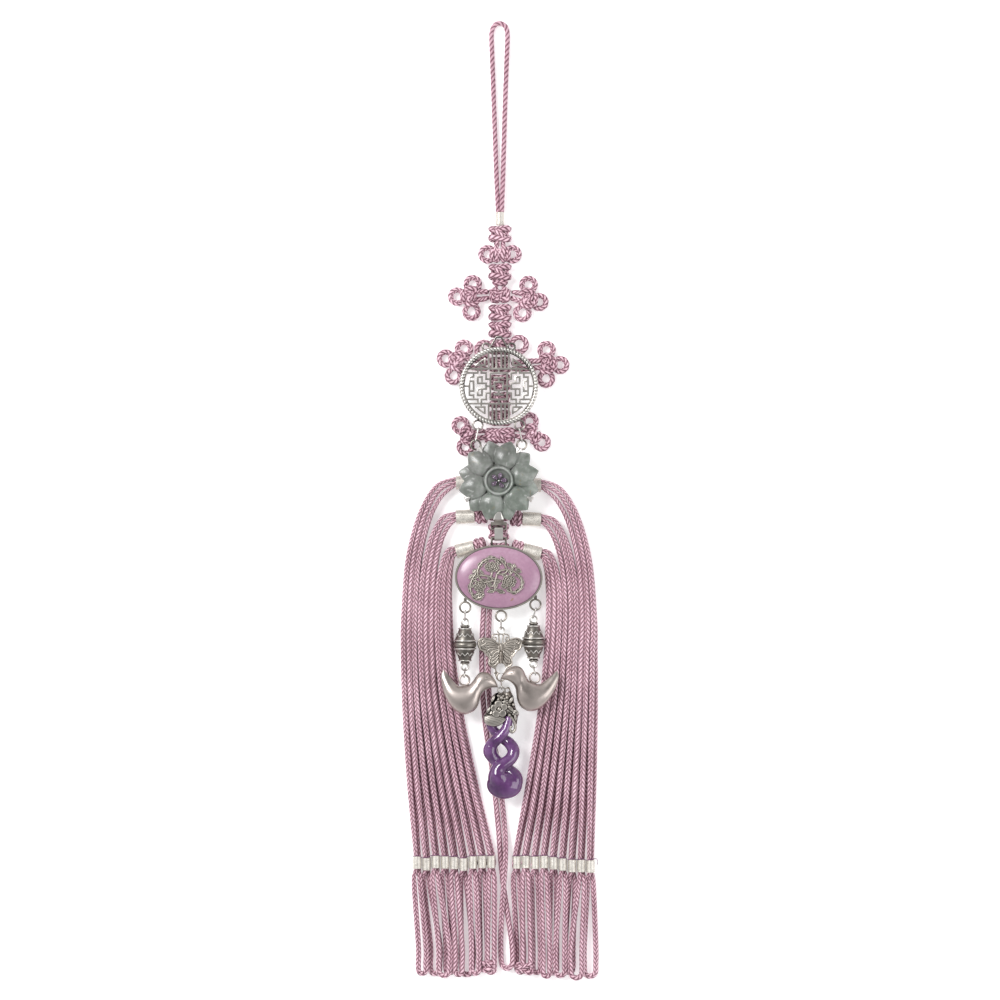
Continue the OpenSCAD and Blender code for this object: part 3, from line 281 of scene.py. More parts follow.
def silk_material(name, deep, middle, pale, braid):
    """Silk cord: painted shade in the grooves between strands and along the braid's seams, a painted
    highlight on the crowns, with fine fibres along them.
    """
    made, tree, shader = new_material(name, Roughness=0.55, Specular_IOR_Level=0.35, Sheen_Weight=0.45,
        Sheen_Roughness=0.4, Sheen_Tint=(0.95, 0.75, 0.85, 1))
    place = add_node(tree, "ShaderNodeTexCoord")
    split = tree.nodes.new("ShaderNodeSeparateXYZ")
    tree.links.new(place.outputs["UV"], split.inputs[0])
    u, v = split.outputs[0], split.outputs[1]
    if braid:
        columns = maths(tree, "MULTIPLY", u, 4)
        shifted = maths(tree, "ADD", v, maths(tree, "MULTIPLY", maths(tree, "FLOOR", columns), 0.5))
        strand = maths(tree, "FRACT", maths(tree, "ADD", shifted, 0.5))
        seam = maths(tree, "ABSOLUTE", maths(tree, "SUBTRACT", maths(tree, "FRACT", columns), 0.5))
        seam = maths(tree, "POWER", maths(tree, "MULTIPLY", seam, 2), 5)
    else:
        strands = maths(tree, "MULTIPLY", maths(tree, "ADD", u, v), 3)
        strand = maths(tree, "FRACT", maths(tree, "ADD", strands, 0.5))
        seam = 0.0
    groove = maths(tree, "ABSOLUTE", maths(tree, "SUBTRACT", strand, 0.5))
    groove = maths(tree, "POWER", maths(tree, "MULTIPLY", groove, 2), 2.3)
    crown = maths(tree, "MULTIPLY", maths(tree, "SUBTRACT", 1, groove),
        maths(tree, "SUBTRACT", 1, maths(tree, "MULTIPLY", seam, 0.55)))
    fibre = maths(tree, "SINE", maths(tree, "MULTIPLY", strand, 38))
    fluff = noise(tree, place, Scale=900.0, Detail=3.0)
    faded = maths(tree, "SUBTRACT", noise(tree, place, Scale=70.0, Detail=2.0), 0.5)
    tone = blend(tree, (crown, 0.75), (fluff, 0.3), (fibre, 0.04), (faded, 0.3))
    # Painted light: the ramp darkens the grooves and seams as shade and lightens the crowns as a highlight.
    shade = colour_ramp(tree, tone, [(0.24, deep), (0.58, middle), (0.96, pale)])
    tree.links.new(shade, shader.inputs["Base Color"])
    bumped(tree, shader, blend(tree, (crown, 0.7), (fibre, 0.05)), 0.6, 0.00025)
    return made


twisted_silk = silk_material("twisted_silk", (0.1, 0.03, 0.045), (0.34, 0.155, 0.21), (0.7, 0.44, 0.52),
    False)
hang_points = [(x, y + HANG_FOOT, z) for x, y, z in HANG_FRONT + HANG_APEX + HANG_BACK]
skein = Skein()
skein.twisted(hang_points, HANG_D / 2 + 0.06, 6.6, step=0.4)
hanging_loop = skein.piece("hanging_cord", twisted_silk, ["hanging_loop"])

# Silver wrap at the foot of the loop: flat silver thread wound tightly round both legs.
# It is laid on turn by turn, so its side shows fine ridges.
TURN = 0.36


def thread_rows(length, turns, dip, crown=0.0):
    """Places along a wound sleeve, and how far each stands out: up on a turn, down between two."""
    rows, sizes = [-length / 2], [-0.12]
    for i in range(turns):
        for share, grow in ((0.12, -dip), (0.5, crown), (0.88, -dip)):
            rows.append((i + share) / turns * length - length / 2)
            sizes.append(grow)
    return rows + [length / 2], sizes + [-0.12]


def wound_sleeve(name, middle, direction, length, wide, high, nodes, material, turn=TURN):
    """A sleeve of wound thread round an oblong bundle: rings of thread one against the other."""
    axis = np.array(direction, float)
    axis /= np.linalg.norm(axis)
    across = np.cross(axis, [0, 0, 1])
    rows, sizes = thread_rows(length, int(length / turn), 0.06)
    sides = 32
    r = min(wide, high) / 2
    outline = []
    for k in range(sides):
        a = 2 * math.pi * (k + 0.5) / sides
        x, z = math.cos(a), math.sin(a)
        outline.append(((max(wide - high, 0) / 2) * (1 if x > 0 else -1) + r * x,
            (max(high - wide, 0) / 2) * (1 if z > 0 else -1) + r * z, x, z))
    rings = np.zeros((len(rows), sides, 3))
    for i, (s, grow) in enumerate(zip(rows, sizes)):
        for k, (x, z, nx, nz) in enumerate(outline):
            lift = np.array([0, 0, z + nz * grow])
            rings[i, k] = np.array(middle) + axis * s + across * (x + nx * grow) + lift
    skein = Skein()
    skein.add_rings(rings, np.array(rows))
    skein.piece(name, material, nodes)


def thread_material(name, deep, pale):
    """Silver thread: a bright foil strip round a core, that glitters in points turn by turn."""
    made, tree, shader = new_material(name, Metallic=0.65, Roughness=0.4)
    place = add_node(tree, "ShaderNodeTexCoord")
    glitter = noise(tree, place, Scale=6500.0, Detail=1.0)
    patch = noise(tree, place, Scale=700.0, Detail=3.0)
    shade = colour_ramp(tree, blend(tree, (glitter, 0.75), (patch, 0.25)), [(0.36, deep), (0.52, pale)])
    tree.links.new(shade, shader.inputs["Base Color"])
    bumped(tree, shader, glitter, 0.4, 0.0001)
    return made


silver_thread = thread_material("silver_thread", (0.28, 0.25, 0.215), (0.84, 0.8, 0.74))
wound_sleeve("silver_wrap_top", (0, 149.75, 2.1), (0, 1, 0), 5.1, 3.5, 4.1, ["top_wrap"], silver_thread)

# Knots of the upper column: lilac-pink eight-plait silk cord tied in pairs of swelling coils.
# Each knot is two coils that slope against each other with a crossing on their front.
KNOT_A, EAR_KNOT, KNOT_B, CROSS, KNOT_C, KNOT_D = 143.7, 135.6, 128.5, 119.4, 112.3, 105.55
CORD_R = 1.12


def coil(skein, x, y, half_w, low, high, slope, r=CORD_R, nod=0.0):
    """A flattened turn of cord round a knot, which slopes one way in front and the other behind."""
    middle, half_h = (low + high) / 2, (high - low) / 2 - r
    points = []
    for k in range(12):
        a = 2 * math.pi * k / 12
        sx = abs(math.cos(a)) ** 0.8 * (1 if math.cos(a) > 0 else -1)
        points.append((x + (half_w - r) * sx, y + slope * math.cos(a) * math.sin(a) * 1.3 + nod
            * math.cos(a), middle + half_h * math.sin(a)))
    skein.braided(points, r, closed=True)


def column_knot(skein, x, y, half_w=4.7, high=5.3, step=1.85):
    """Two coils that lean against each other, with a crossing in front and a cord up each side."""
    coil(skein, x, y + step, half_w, 0.15, high, 0.55, CORD_R * 1.08, 0.1)
    coil(skein, x, y - step, half_w, 0.15, high, -0.6, CORD_R * 1.08, -0.1)
    skein.braided([(x - 2.6, y + step + 0.2, high - 1.8), (x - 1.2, y + 0.7, high - 0.7),
        (x + 1.1, y - 0.7, high - 0.7), (x + 2.6, y - step - 0.2, high - 1.8)], CORD_R * 0.95)
    for s in (-1, 1):
        skein.braided([(x + s * 2.2, y - 2.4, 1.6), (x + s * 2.5, y, 2.2), (x + s * 2.2, y + 2.4, 1.6)],
            CORD_R)


braided_silk = silk_material("braided_silk", (0.06, 0.016, 0.026), (0.36, 0.165, 0.222), (0.96, 0.67, 0.765),
    True)
for name, y in (("knot_a", KNOT_A), ("knot_b", KNOT_B), ("knot_c", KNOT_C), ("knot_d", KNOT_D)):
    skein = Skein()
    column_knot(skein, 0, y)
    if name in ("knot_a", "knot_b"):
        for s in (-1, 1):
            skein.braided([(s * 1.15, y - 2.6, 2.7), (s * 1.25, y - 4.2, 2.6), (s * 1.15, y - 5.4, 2.7)],
                CORD_R)
    skein.piece("cord_" + name, braided_silk, [name])

# Eared knots: in each the cord crosses itself two over two, and stands out in round ears.
# Small folds lie over the roots of the ears, and two cords lead on to the neighbouring knot.
EAR_R = 2.62


def turned(point, angle):
    """A point turned about the middle of its knot."""
    x, y, z = point
    a = math.radians(angle)
    return (x * math.cos(a) - y * math.sin(a), x * math.sin(a) + y * math.cos(a), z)


def placed(skein, x, y, angle, points, r=None):
    """A braided strand drawn about the middle of its knot, turned and put in its place."""
    skein.braided([(x + q[0], y + q[1], q[2]) for q in (turned(p, angle) for p in points)], r or CORD_R)


def ear_points(reach):
    """The round of an ear, from its root on one side to its root on the other."""
    points = [(2.9, -1.2, 2.2)]
    for a in range(-125, 126, 25):
        points.append((reach + EAR_R * math.cos(math.radians(a)), EAR_R * math.sin(math.radians(a)), 1.55))
    return points + [(2.9, 1.2, 2.2)]


def fold(skein, x, y, angle, out=2.9, half=2.5, up=3.7):
    """A short fold of cord that lies across the root of an ear."""
    placed(skein, x, y, angle, [(out - 1.1, -half, 1.9), (out + 0.1, -half * 0.72, up - 0.4),
        (out + 0.45, 0, up), (out + 0.1, half * 0.72, up - 0.4), (out - 1.1, half, 1.9)], 1.02)


def eared_knot(skein, x, y, ears, lead=None):
    """A knot whose pairs of cord cross two over two, with its ears at the given angles and reaches."""
    for angle, reach in ears:
        placed(skein, x, y, angle, [(-1.6, -1.2, 2.3), (0.9, -1.2, 3.9)] + ear_points(reach)
            + [(0.9, 1.2, 2.4), (-1.6, 1.2, 3.9)])
        fold(skein, x, y, angle)
    for angle in (45, 225):
        placed(skein, x, y, angle, [(-2.3, 0.0, 2.6), (-0.9, 0.3, 4.05), (1.0, 0.3, 4.1), (2.4, 0.0, 2.6)],
            1.0)
    if lead:
        v = np.array(lead, float)
        far = np.linalg.norm(v)
        v /= far
        side = np.array([-v[1], v[0]]) * 1.2
        for s in (-1, 1):
            a = v * 1.2 + s * side
            b = v * far * 0.55 + s * side * 1.25
            c = v * far + s * side * 0.9
            placed(skein, x, y, 0, [(*a, 3.2), (*b, 2.2 + 0.4 * s), (*c, 2.4)])


skein = Skein()
eared_knot(skein, 0, EAR_KNOT, [(180, 5.0), (0, 5.0)])
for s in (-1, 1):
    skein.braided([(s * 1.15, EAR_KNOT + 4.0, 2.7), (s * 1.5, EAR_KNOT + 1.5, 4.0),
        (s * 0.9, EAR_KNOT - 1.4, 4.1), (s * 1.5, EAR_KNOT - 3.2, 2.7)], CORD_R)
skein.piece("cord_ear_knot", braided_silk, ["ear_knot"])

skein = Skein()
for s in (-1, 1):
    skein.braided([(s * 1.3, CROSS + 3.4, 2.2), (s * 1.6, CROSS + 1.4, 3.9),
        (s * -0.4, CROSS - 0.6, 3.6 + 0.5 * s), (s * -1.4, CROSS - 3.2, 2.3)], CORD_R)
    skein.braided([(s * 4.0, CROSS + 1.6, 2.2), (s * 2.2, CROSS + 1.1, 3.9 - s * 0.3),
        (0, CROSS + s * 0.9, 2.5), (-s * 2.2, CROSS + 1.0, 3.4), (-s * 3.9, CROSS + 1.4, 2.2)], CORD_R)
    fold(skein, 0, CROSS - 0.3, 0 if s > 0 else 180, out=2.7, half=2.6, up=3.9)
    skein.braided([(s * 3.8, CROSS - 1.9, 2.0), (s * 1.6, CROSS - 1.7, 3.8), (-s * 1.2, CROSS - 1.9, 2.1)],
        CORD_R)
coil(skein, 0, CROSS + 4.75, 3.3, 0.9, 4.7, 0.4)
skein.piece("cord_cross_knot", braided_silk, ["cross_knot"])

ROUNDEL_Y = 82.75
CLOVERS = {
    "clover_left": ((-11.6, CROSS - 0.7), [(82, 5), (180, 5.5), (272, 6)], (7.3, 0.7)),
    "clover_right": ((11, CROSS - 1.6), [(86, 5.6), (-15, 4.9), (250, 6)], (-6.6, 1.6)),
    "clover_upper_left": ((-16.4, ROUNDEL_Y + 10.1), [(68, 5.4), (168, 5.4), (250, 6.2)], (11.7, -2)),
    "clover_upper_right": ((18.6, ROUNDEL_Y + 9.1), [(90, 5.5), (-5, 5.5), (268, 6)], (-14.1, -1)),
    "clover_lower_left": ((-12.1, ROUNDEL_Y - 19.4), [(133, 5.3), (250, 5)], (6.3, 0.4)),
    "clover_lower_right": ((12.5, ROUNDEL_Y - 19.1), [(98, 5.2), (-38, 5.3)], (-6.6, 0.6)),
}
for name, (place, ears, lead) in CLOVERS.items():
    skein = Skein()
    eared_knot(skein, place[0], place[1], ears, lead)
    skein.piece("cord_" + name, braided_silk, [name])

# Back knot: the knotted mass that the roundel lies on, with a single ear at each side of its top.
# It shows through the fret, above the roundel and between the roundel and the jade flower.
BACK_TOP, BACK_FOOT = 102.1, 59.55
skein = Skein()
for i in range(6):
    y = BACK_FOOT + (i + 0.5) * 7.09
    column_knot(skein, 0, y, half_w=6.3 if i == 0 else 4.4, high=5.25, step=1.75)
    if i == 0:
        for s in (-1, 1):
            coil(skein, s * 3.4, y, 3.0, 0.15, 5.25, 0.5)
for ex, ey, s in ((7.6, BACK_TOP - 2.6, 1), (-6.4, BACK_TOP - 4.6, -1)):
    points = []
    for a in range(-130, 201, 22):
        t = math.radians(a if s > 0 else 180 - a)
        points.append((ex + 2.9 * math.cos(t), ey + 2.9 * math.sin(t), 1.3 + 0.006 * (a + 130)))
    skein.braided(points, CORD_R)
skein.piece("cord_back_knot", braided_silk, ["back_knot"])

# Column behind the jade flower and the plaque: the same double coils, one below the other.
# The bars of the tassel are tied in at its sides.
COLUMN_FOOT, MIDDLE_X = 13.2, -0.5
column_step = (BACK_FOOT - 0.15 - COLUMN_FOOT) / 6
skein = Skein()
for i in range(6):
    column_knot(skein, MIDDLE_X, COLUMN_FOOT + (i + 0.5) * column_step, half_w=4.3, high=5.2,
        step=column_step / 4)
skein.piece("knotted_column", braided_silk, ["cord_column"])

# Tassel: three bars a side, each with three long loops of the same cord, one pair of strands a loop.
# A loop runs out of its bar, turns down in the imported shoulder, passes its silver band and ends in a round.
LEFT_LOOPS = [(0.53, 0.63, 1, 0, 0.3), (0.9, 0.78, 0, 0.4, 0.9), (0.88, 0.91, 1, 0.9, 0),
    (0.47, 0.6, 0, 0, 0.2), (0.47, 0.57, 1, 0.5, 0.4), (0.36, 0.95, 0, 0.9, 1), (0.24, 0.6, 1, 0, 0.2),
    (0.15, 0.6, 0, -1, 0), (-0.05, 0.57, 1, -0.3, 0)]
RIGHT_LOOPS = [(0.04, 0.95, 0, 1.5, 1.8), (0.53, 0.95, 1, 1.9, 1.6), (0.31, 0.65, 0, 0, 1.6),
    (0.28, 0.74, 1, 0.9, 1), (0.04, 0.58, 0, 0.2, 0.5), (-0.23, 0.57, 1, 1.2, 0), (-0.18, 0.6, 0, 0, 0.3),
    (-0.1, 0.65, 1, -1, 0), (-0.39, 0.57, 0, -0.5, 0.2)]
BAR_TILT = (0, 3, 14)
TURN_DROP = (16, 14, 11)
SPLAY = (1.6, 0, -3.2)
PLAQUE_Y, JADE_Y = 6.6, 45.05
TASSEL_X, BAND_X = -0.6, 1.55
BAR_REACH, BAR_PITCH, BAR_H, BAR_T = 17.2, 13.8, 4.8, 4.0
BAR_Z = 2.45
INNER_REACH, PACK_PITCH = 20.0, 2.23
BAND_DROP, BAND_PITCH, BAND_H, LOOP_DROP = 113.6, 3.7, 4.9, 159.2
FREE = (1.15, 3.6)
THIN_R = (BAR_H - 0.4) / 6 - 0.05
BOUND_R = 0.92
BOUND = (0.5 + 0.1 + BOUND_R, 0.5 + 0.1 + BOUND_R * 3 + 0.1)


def bar_point(side, k, inwards):
    """The point on a bar's middle line at a distance inwards from its outer end."""
    tilt = math.radians(BAR_TILT[k])
    y = JADE_Y - 0.7 - BAR_PITCH * k - (1 if side > 0 else 0)
    return np.array([TASSEL_X + side * BAR_REACH - side * inwards * math.cos(tilt),
        y + inwards * math.sin(tilt)])


def band_place(side, i):
    """The middle of the silver band of a loop."""
    row = (LEFT_LOOPS if side < 0 else RIGHT_LOOPS)[i]
    return np.array([BAND_X + side * BAND_PITCH * (9 - i + 0.35), PLAQUE_Y - BAND_DROP - row[4]])


def bezier(p, t):
    """A point of a curve drawn between two ends and two handles."""
    return (1 - t) ** 3 * p[0] + 3 * t * (1 - t) ** 2 * p[1] + 3 * t * t * (1 - t) * p[2] + t ** 3 * p[3]


def loop_line(side, i):
    """The whole of one loop: down in front, round its end and up behind, with a radius at each point."""
    k, j = divmod(i, 3)
    row = (LEFT_LOOPS if side < 0 else RIGHT_LOOPS)[i]
    lift = np.array([0, (1 - j) * (2 * THIN_R + 0.1)])
    inside, start = bar_point(side, k, 1.2) + lift, bar_point(side, k, -0.6) + lift
    turn = np.array([TASSEL_X + side * (INNER_REACH + (8 - i) * PACK_PITCH), PLAQUE_Y - TURN_DROP[k]])
    out, down = abs(turn[0] - start[0]), start[1] - turn[1]
    band = band_place(side, i)
    shoulder = [start, start + [side * 0.5 * out, SPLAY[j]], turn + [0, 0.6 * down], turn]
    foot = band + [0, BAND_H / 2]
    fan_l = turn[1] - foot[1]
    fan = [turn, turn - [0, 0.36 * fan_l], foot + [(turn[0] - foot[0]) * 0.55, 0.38 * fan_l], foot]
    shares = [0.25, 0.5, 0.75, 1]
    fans = [0.15, 0.4, 0.72]
    plan = [inside, start] + [bezier(shoulder, t) for t in shares] + [bezier(fan, t) for t in fans]
    plan += [foot + [0, 0.2], band - [0, BAND_H / 2 + 0.2]]
    radii = [THIN_R, THIN_R] + [CORD_R - (CORD_R - THIN_R) * (1 - t) ** 1.6
        for t in shares] + [CORD_R] * 3 + [BOUND_R] * 2
    z = row[2] * (FREE[1] - FREE[0]) + FREE[0]
    r = row[1] * 2.3
    x = band[0] - side * row[0] * BAND_PITCH
    y = PLAQUE_Y - LOOP_DROP - row[3] + r + 1.15
    spread = 1.2
    low_y = band[1] - BAND_H / 2 - 6
    front = [(p[0] - d, p[1], h) for p, d, h in zip(plan, [0] * 6 + [0.3, 0.5, 0.65, 0.6, 0.6],
        [BAR_Z + THIN_R + 0.1] * 2 + [FREE[1]] * 7 + [BOUND[1]] * 2)]
    back = [(p[0] + d, p[1], h) for p, d, h in zip(plan, [0, 0, 0, 0.15, 0.3, 0.5, 0.8, 1, 0.85, 0.6, 0.6],
        [BAR_Z - THIN_R - 0.1] * 2 + [FREE[0]] * 7 + [BOUND[0]] * 2)]
    end = [(band[0] - spread, low_y, z), (x - r * 1.05, y + 10, z), (x - r * 1.05, y + 2.5, z)]
    end += [(x - r * math.cos(math.radians(a)), y - r * math.sin(math.radians(a)), z)
        for a in range(0, 181, 30)]
    end += [(x + r * 1.05, y + 2.5, z), (x + r * 1.05, y + 10, z), (band[0] + spread, low_y, z)]
    bound = radii[:-2] + [BOUND_R * 0.94] * 2
    return front + end + back[::-1], bound + [CORD_R] * len(end) + bound[::-1]


def sized_strand(skein, points, radii):
    """A braided strand whose thickness follows the radius given at each of its points."""
    fine = smooth_path(points)
    run = np.concatenate([[0], np.cumsum(np.linalg.norm(np.diff(fine, axis=0), axis=1))])
    skein.braided(points, CORD_R, radii=(run[::12] / run[-1], radii), fine=fine)


for side, word in ((-1, "left"), (1, "right")):
    for k in range(3):
        skein = Skein()
        tilt = math.radians(BAR_TILT[k])
        length = BAR_REACH + side * (TASSEL_X + 0.5) - 4.3 - 0.15
        for j in range(3):
            points, radii = loop_line(side, k * 3 + j)
            sized_strand(skein, points, radii)
        length = (length - (BAR_H + 1.8) / 2 * math.sin(tilt)) / math.cos(tilt)
        for n in range(3):
            for z in (BAR_Z + 0.85, BAR_Z - 0.85):
                a = bar_point(side, k, 0.3) + [0, (1 - n) * 1.5]
                b = bar_point(side, k, length - 0.3) + [0, (1 - n) * 1.5]
                skein.braided([(a[0], a[1], z), ((a[0] + b[0]) / 2, (a[1] + b[1]) / 2, z), (b[0], b[1], z)],
                    0.8)
        if k > 0:
            for n in range(2):
                at = bar_point(side, k, length - 2.185 * (n + 0.5))
                points = []
                for q in range(12):
                    a = 2 * math.pi * q / 12
                    across = 2.25 * math.cos(a)
                    lean = 0.35 * math.sin(a) * side
                    points.append((at[0] + across * side * math.sin(tilt) + lean,
                        at[1] + across * math.cos(tilt), BAR_Z + 1.25 * math.sin(a)))
                skein.braided(points, 1.05, closed=True)
        if k == 2:
            x, y, half = (-4.4, -148.7, 2.9) if side < 0 else (10, -149.6, 3.9)
            coil(skein, x, y + 1.1, half, 1.6, 5.9, 0.8 * side, 1.05)
            coil(skein, x, y - 1, half * 0.9, 1.4, 5.7, -0.9 * side, 1.05)
        skein.piece(f"tassel_{word}_{k + 1}", braided_silk, [f"bundle_{word}_{k + 1}"])

# Silver thread wound round the bars, and one short band of it round the two cords of each loop.
# The bands sit side by side in a row that follows the fan of the cords.
for side, word in ((-1, "left"), (1, "right")):
    for k in range(3):
        tilt = math.radians(BAR_TILT[k])
        at = bar_point(side, k, 0.2 + 3.7)
        wound_sleeve(f"silver_wrap_{word}_{k + 1}", (at[0], at[1], BAR_Z),
            (math.cos(tilt) * side, -math.sin(tilt), 0), 7.4, BAR_H + 0.9, BAR_T + 0.9,
            [f"wrap_{word}_{k + 1}"], silver_thread, turn=0.38)
BAND_THICK = BOUND[1] + BOUND_R + 0.1 + 0.5
for side, word in ((-1, "left"), (1, "right")):
    skein = Skein()
    for i in range(9):
        x, y = band_place(side, i)
        rows, sizes = thread_rows(BAND_H, 13, 0.055, 0.01)
        sides, r, half = 20, (BAND_PITCH - 0.22) / 2, BAND_THICK / 2
        rings = np.zeros((len(rows), sides, 3))
        for j, (s, grow) in enumerate(zip(rows, sizes)):
            for k in range(sides):
                a = 2 * math.pi * (k + 0.5) / sides
                nx, nz = math.cos(a), math.sin(a)
                z = half + (half - r) * (1 if nz > 0 else -1) + (r + grow) * nz
                rings[j, k] = (x + (r + grow) * nx, y + s, z)
        skein.add_rings(rings, np.array(rows) + x)
    skein.piece(f"silver_bands_{word}", silver_thread, [f"bands_{word}"])

# Sewing thread: fine violet thread that holds the row of bands in line, passed from cord to cord above them.
# Its end is left loose at the right.
sewing_violet = new_material("sewing_violet", Roughness=0.6, Base_Color=(0.16, 0.05, 0.15, 1))[0]
skein = Skein()
for side in (-1, 1):
    points = []
    for i in (range(9) if side < 0 else range(8, -1, -1)):
        at = band_place(side, i)
        for dx, dy, dz in ((-1.7, 0.1, -0.35), (-0.6, 0.25, 0.15), (0.6, 0.5, 0.15)):
            points.append((at[0] + dx, at[1] + BAND_H / 2 + dy, BOUND[1] + BOUND_R + dz))
    if side > 0:
        points += [(points[-1][0] + 1.6, points[-1][1] + 0.2, 4.2),
            (points[-1][0] + 2.3, points[-1][1] - 1, 3.4), (points[-1][0] + 2, points[-1][1] - 2.6, 2.4)]
    skein.twisted(points, 0.13, 0.9, strands=2, step=0.3, sides=6)
skein.piece("sewing_thread", sewing_violet, [])

# Centre loop: one long loop of the cord that hangs loosely between the two sides and crosses itself once.
# Its short head is tied below the column, behind the butterfly.
CENTRE_TOP = 11.85
CENTRE_LEFT = [(-2.6, 1, 1.15), (-4.4, -5, 1.15), (-6.2, -14, 1.15), (-7.2, -32, 1.15), (-7, -50, 1.15),
    (-5.6, -66, 1.15), (-3.6, -79, 1.15), (-2.2, -90, 1.15), (-0.6, -106, 1.15), (0.2, -117, 1.15),
    (1.4, -129, 1.15), (3.2, -141, 2), (4.7, -151, 3.6), (5, -158.5, 3.6)]
CENTRE_RIGHT = [(0, 1, 1.15), (-2, -5, 1.15), (-3.8, -14, 1.15), (-4.7, -32, 1.15), (-4.5, -50, 1.15),
    (-3.1, -66, 1.15), (-1.1, -79, 1.15), (0.3, -90, 1.15), (1.9, -106, 1.15), (2.2, -117, 3.4),
    (1.4, -129, 3.6), (0.6, -141, 2.6), (0.3, -151, 1.15), (0.5, -158.5, 1.15)]
skein = Skein()
centre = CENTRE_RIGHT + [(1.2, -160.6, 1.7), (2.8, -161.5, 2.4), (4.4, -160.6, 3.1)] + CENTRE_LEFT[::-1]
skein.braided([(x, y + CENTRE_TOP, z) for x, y, z in centre], CORD_R)
for n in range(2):
    skein.braided([(-3.9, CENTRE_TOP - 0.7 - 1.6 * n, 1.15), (-1.3, CENTRE_TOP - 0.5 - 1.6 * n, 1.6),
        (1.4, CENTRE_TOP - 0.8 - 1.6 * n, 1.15)], 1.05)
skein.piece("cord_centre_loop", braided_silk, ["centre_loop"])

# Silver roundel: a pierced plate with a fret, soldered into a rim of twisted rope wire.
# The plate is sawn from sheet, and the rope is two wires twisted and flattened a little.
def silver_material(name, deep, pale, rough, relief=0.25, dark_share=0.46, grain=220.0, worn=""):
    """Silver: tarnish in clouds and in its hollows with painted shade there too, a painted highlight where it
    stands proud, satin, with fine scratches.
    """
    made, tree, shader = new_material(name, Metallic=1.0, Roughness=rough)
    place = add_node(tree, "ShaderNodeTexCoord")
    cloud = noise(tree, place, Scale=grain, Detail=5.0)
    scratch = noise(tree, place, Scale=grain * 9, Detail=2.0)
    # Painted shade and highlight: hollows are darkened and proud edges lightened, from the surface's
    # pointiness or from the given attribute.
    if worn:
        polish = tree.nodes.new("ShaderNodeAttribute")
        polish.attribute_name = worn
        proud = polish.outputs["Fac"]
    else:
        proud = tree.nodes.new("ShaderNodeNewGeometry").outputs["Pointiness"]
    tarnish = maths(tree, "MULTIPLY", maths(tree, "SUBTRACT", cloud, 0.5), 0.22)
    tone = maths(tree, "ADD", proud, tarnish)
    spread = 0.3 if worn else 0.09
    shade = colour_ramp(tree, tone, [(dark_share, deep), (dark_share + spread, pale)])
    tree.links.new(shade, shader.inputs["Base Color"])
    rough_now = maths(tree, "ADD", maths(tree, "MULTIPLY", cloud, 0.25), rough - 0.12)
    tree.links.new(rough_now, shader.inputs["Roughness"])
    bumped(tree, shader, blend(tree, (cloud, 0.6), (scratch, 0.4)), relief, 0.0002)
    return made


def dress(node, material):
    """Gives a CAD node its finish."""
    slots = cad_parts[node].data.materials
    slots.clear()
    slots.append(material)


def softened(node, width, material):
    """A copy of a CAD node with its edges worn round, which stands for it."""
    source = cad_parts[node]
    mesh = source.data.copy()
    mesh.transform(source.matrix_world)
    made = bpy.data.objects.new("worn_" + node, mesh)
    bpy.context.scene.collection.objects.link(made)
    bpy.context.view_layer.objects.active = made
    made.select_set(True)
    bpy.ops.object.mode_set(mode="EDIT")
    bpy.ops.mesh.select_all(action="SELECT")
    bpy.ops.mesh.remove_doubles(threshold=0.000002)
    bpy.ops.mesh.dissolve_limited(angle_limit=math.radians(1))
    bpy.ops.object.mode_set(mode="OBJECT")
    worn = made.modifiers.new("worn", "BEVEL")
    worn.width = width * MM
    worn.segments = 2
    worn.angle_limit = math.radians(65)
    worn.harden_normals = True
    bpy.ops.object.shade_smooth()
    bpy.ops.object.modifier_apply(modifier="worn")
    made.data.materials.clear()
    made.data.materials.append(material)
    made.select_set(False)
    settle(made, [node])


def round_line(x, y, z, r, count=24):
    """Points round a circle that lies flat."""
    return [(x + r * math.cos(2 * math.pi * k / count), y + r * math.sin(2 * math.pi * k / count), z)
        for k in range(count)]


bright_silver = silver_material("bright_silver", (0.22, 0.21, 0.195), (0.7, 0.68, 0.65), 0.36,
    dark_share=0.42)
dark_silver = silver_material("dark_silver", (0.05, 0.044, 0.038), (0.45, 0.415, 0.375), 0.38,
    dark_share=0.44)
cast_silver = silver_material("cast_silver", (0.07, 0.06, 0.052), (0.55, 0.505, 0.455), 0.42,
    dark_share=0.27, worn="wear_and_painted_shade")
fret_silver = silver_material("fret_silver", (0.06, 0.055, 0.05), (0.5, 0.47, 0.44), 0.32, dark_share=0.47)
softened("roundel", 0.08, fret_silver)
ROUNDEL_R = 15.7
skein = Skein()
skein.twisted(round_line(MIDDLE_X, ROUNDEL_Y, 6.35, ROUNDEL_R - 0.9, 72), 1.04, 2.6, strands=2, step=0.26,
    sides=12, depth=0.32, closed=True)
skein.piece("roundel_rope", bright_silver, [])

# Links: drawn silver wire bent to ovals and closed, the same all over the piece.
# They keep the shape of the CAD and take the bright finish of handled silver.
for name in ("roundel_link_left", "roundel_link_right", "lantern_link_left", "lantern_link_right",
        "bird_link_left", "bird_link_right", "butterfly_link", "cap_link", "strap_link"):
    dress(name, bright_silver)
dress("jade_mount", dark_silver)
dress("plaque_bezel", dark_silver)

# Jade flower: one piece of grey-green jade, carved as six broad petals over six narrow ones round a ring.
# The petals swell softly and are worn smooth, and the stone is cloudy and lets a little light in.
PETAL_TIPS = [14, 41, 73, 104, 137, 168, 193, 227, 253, 286, 315, 346, 374]
JADE_R, JADE_T = 16.5, 6.6
JADE_Z = 5.35 + 0.8 + 0.15


def jade_edge(a):
    """Radius of the outline at an angle: rounded tips with a sharp valley between them."""
    b = a + 360 if a < PETAL_TIPS[0] else a
    i = max(n for n in range(12) if b >= PETAL_TIPS[n])
    share = (b - PETAL_TIPS[i]) / (PETAL_TIPS[i + 1] - PETAL_TIPS[i])
    return JADE_R * (1 - 0.17 * (1 - abs(2 * share - 1)) ** 1.03)


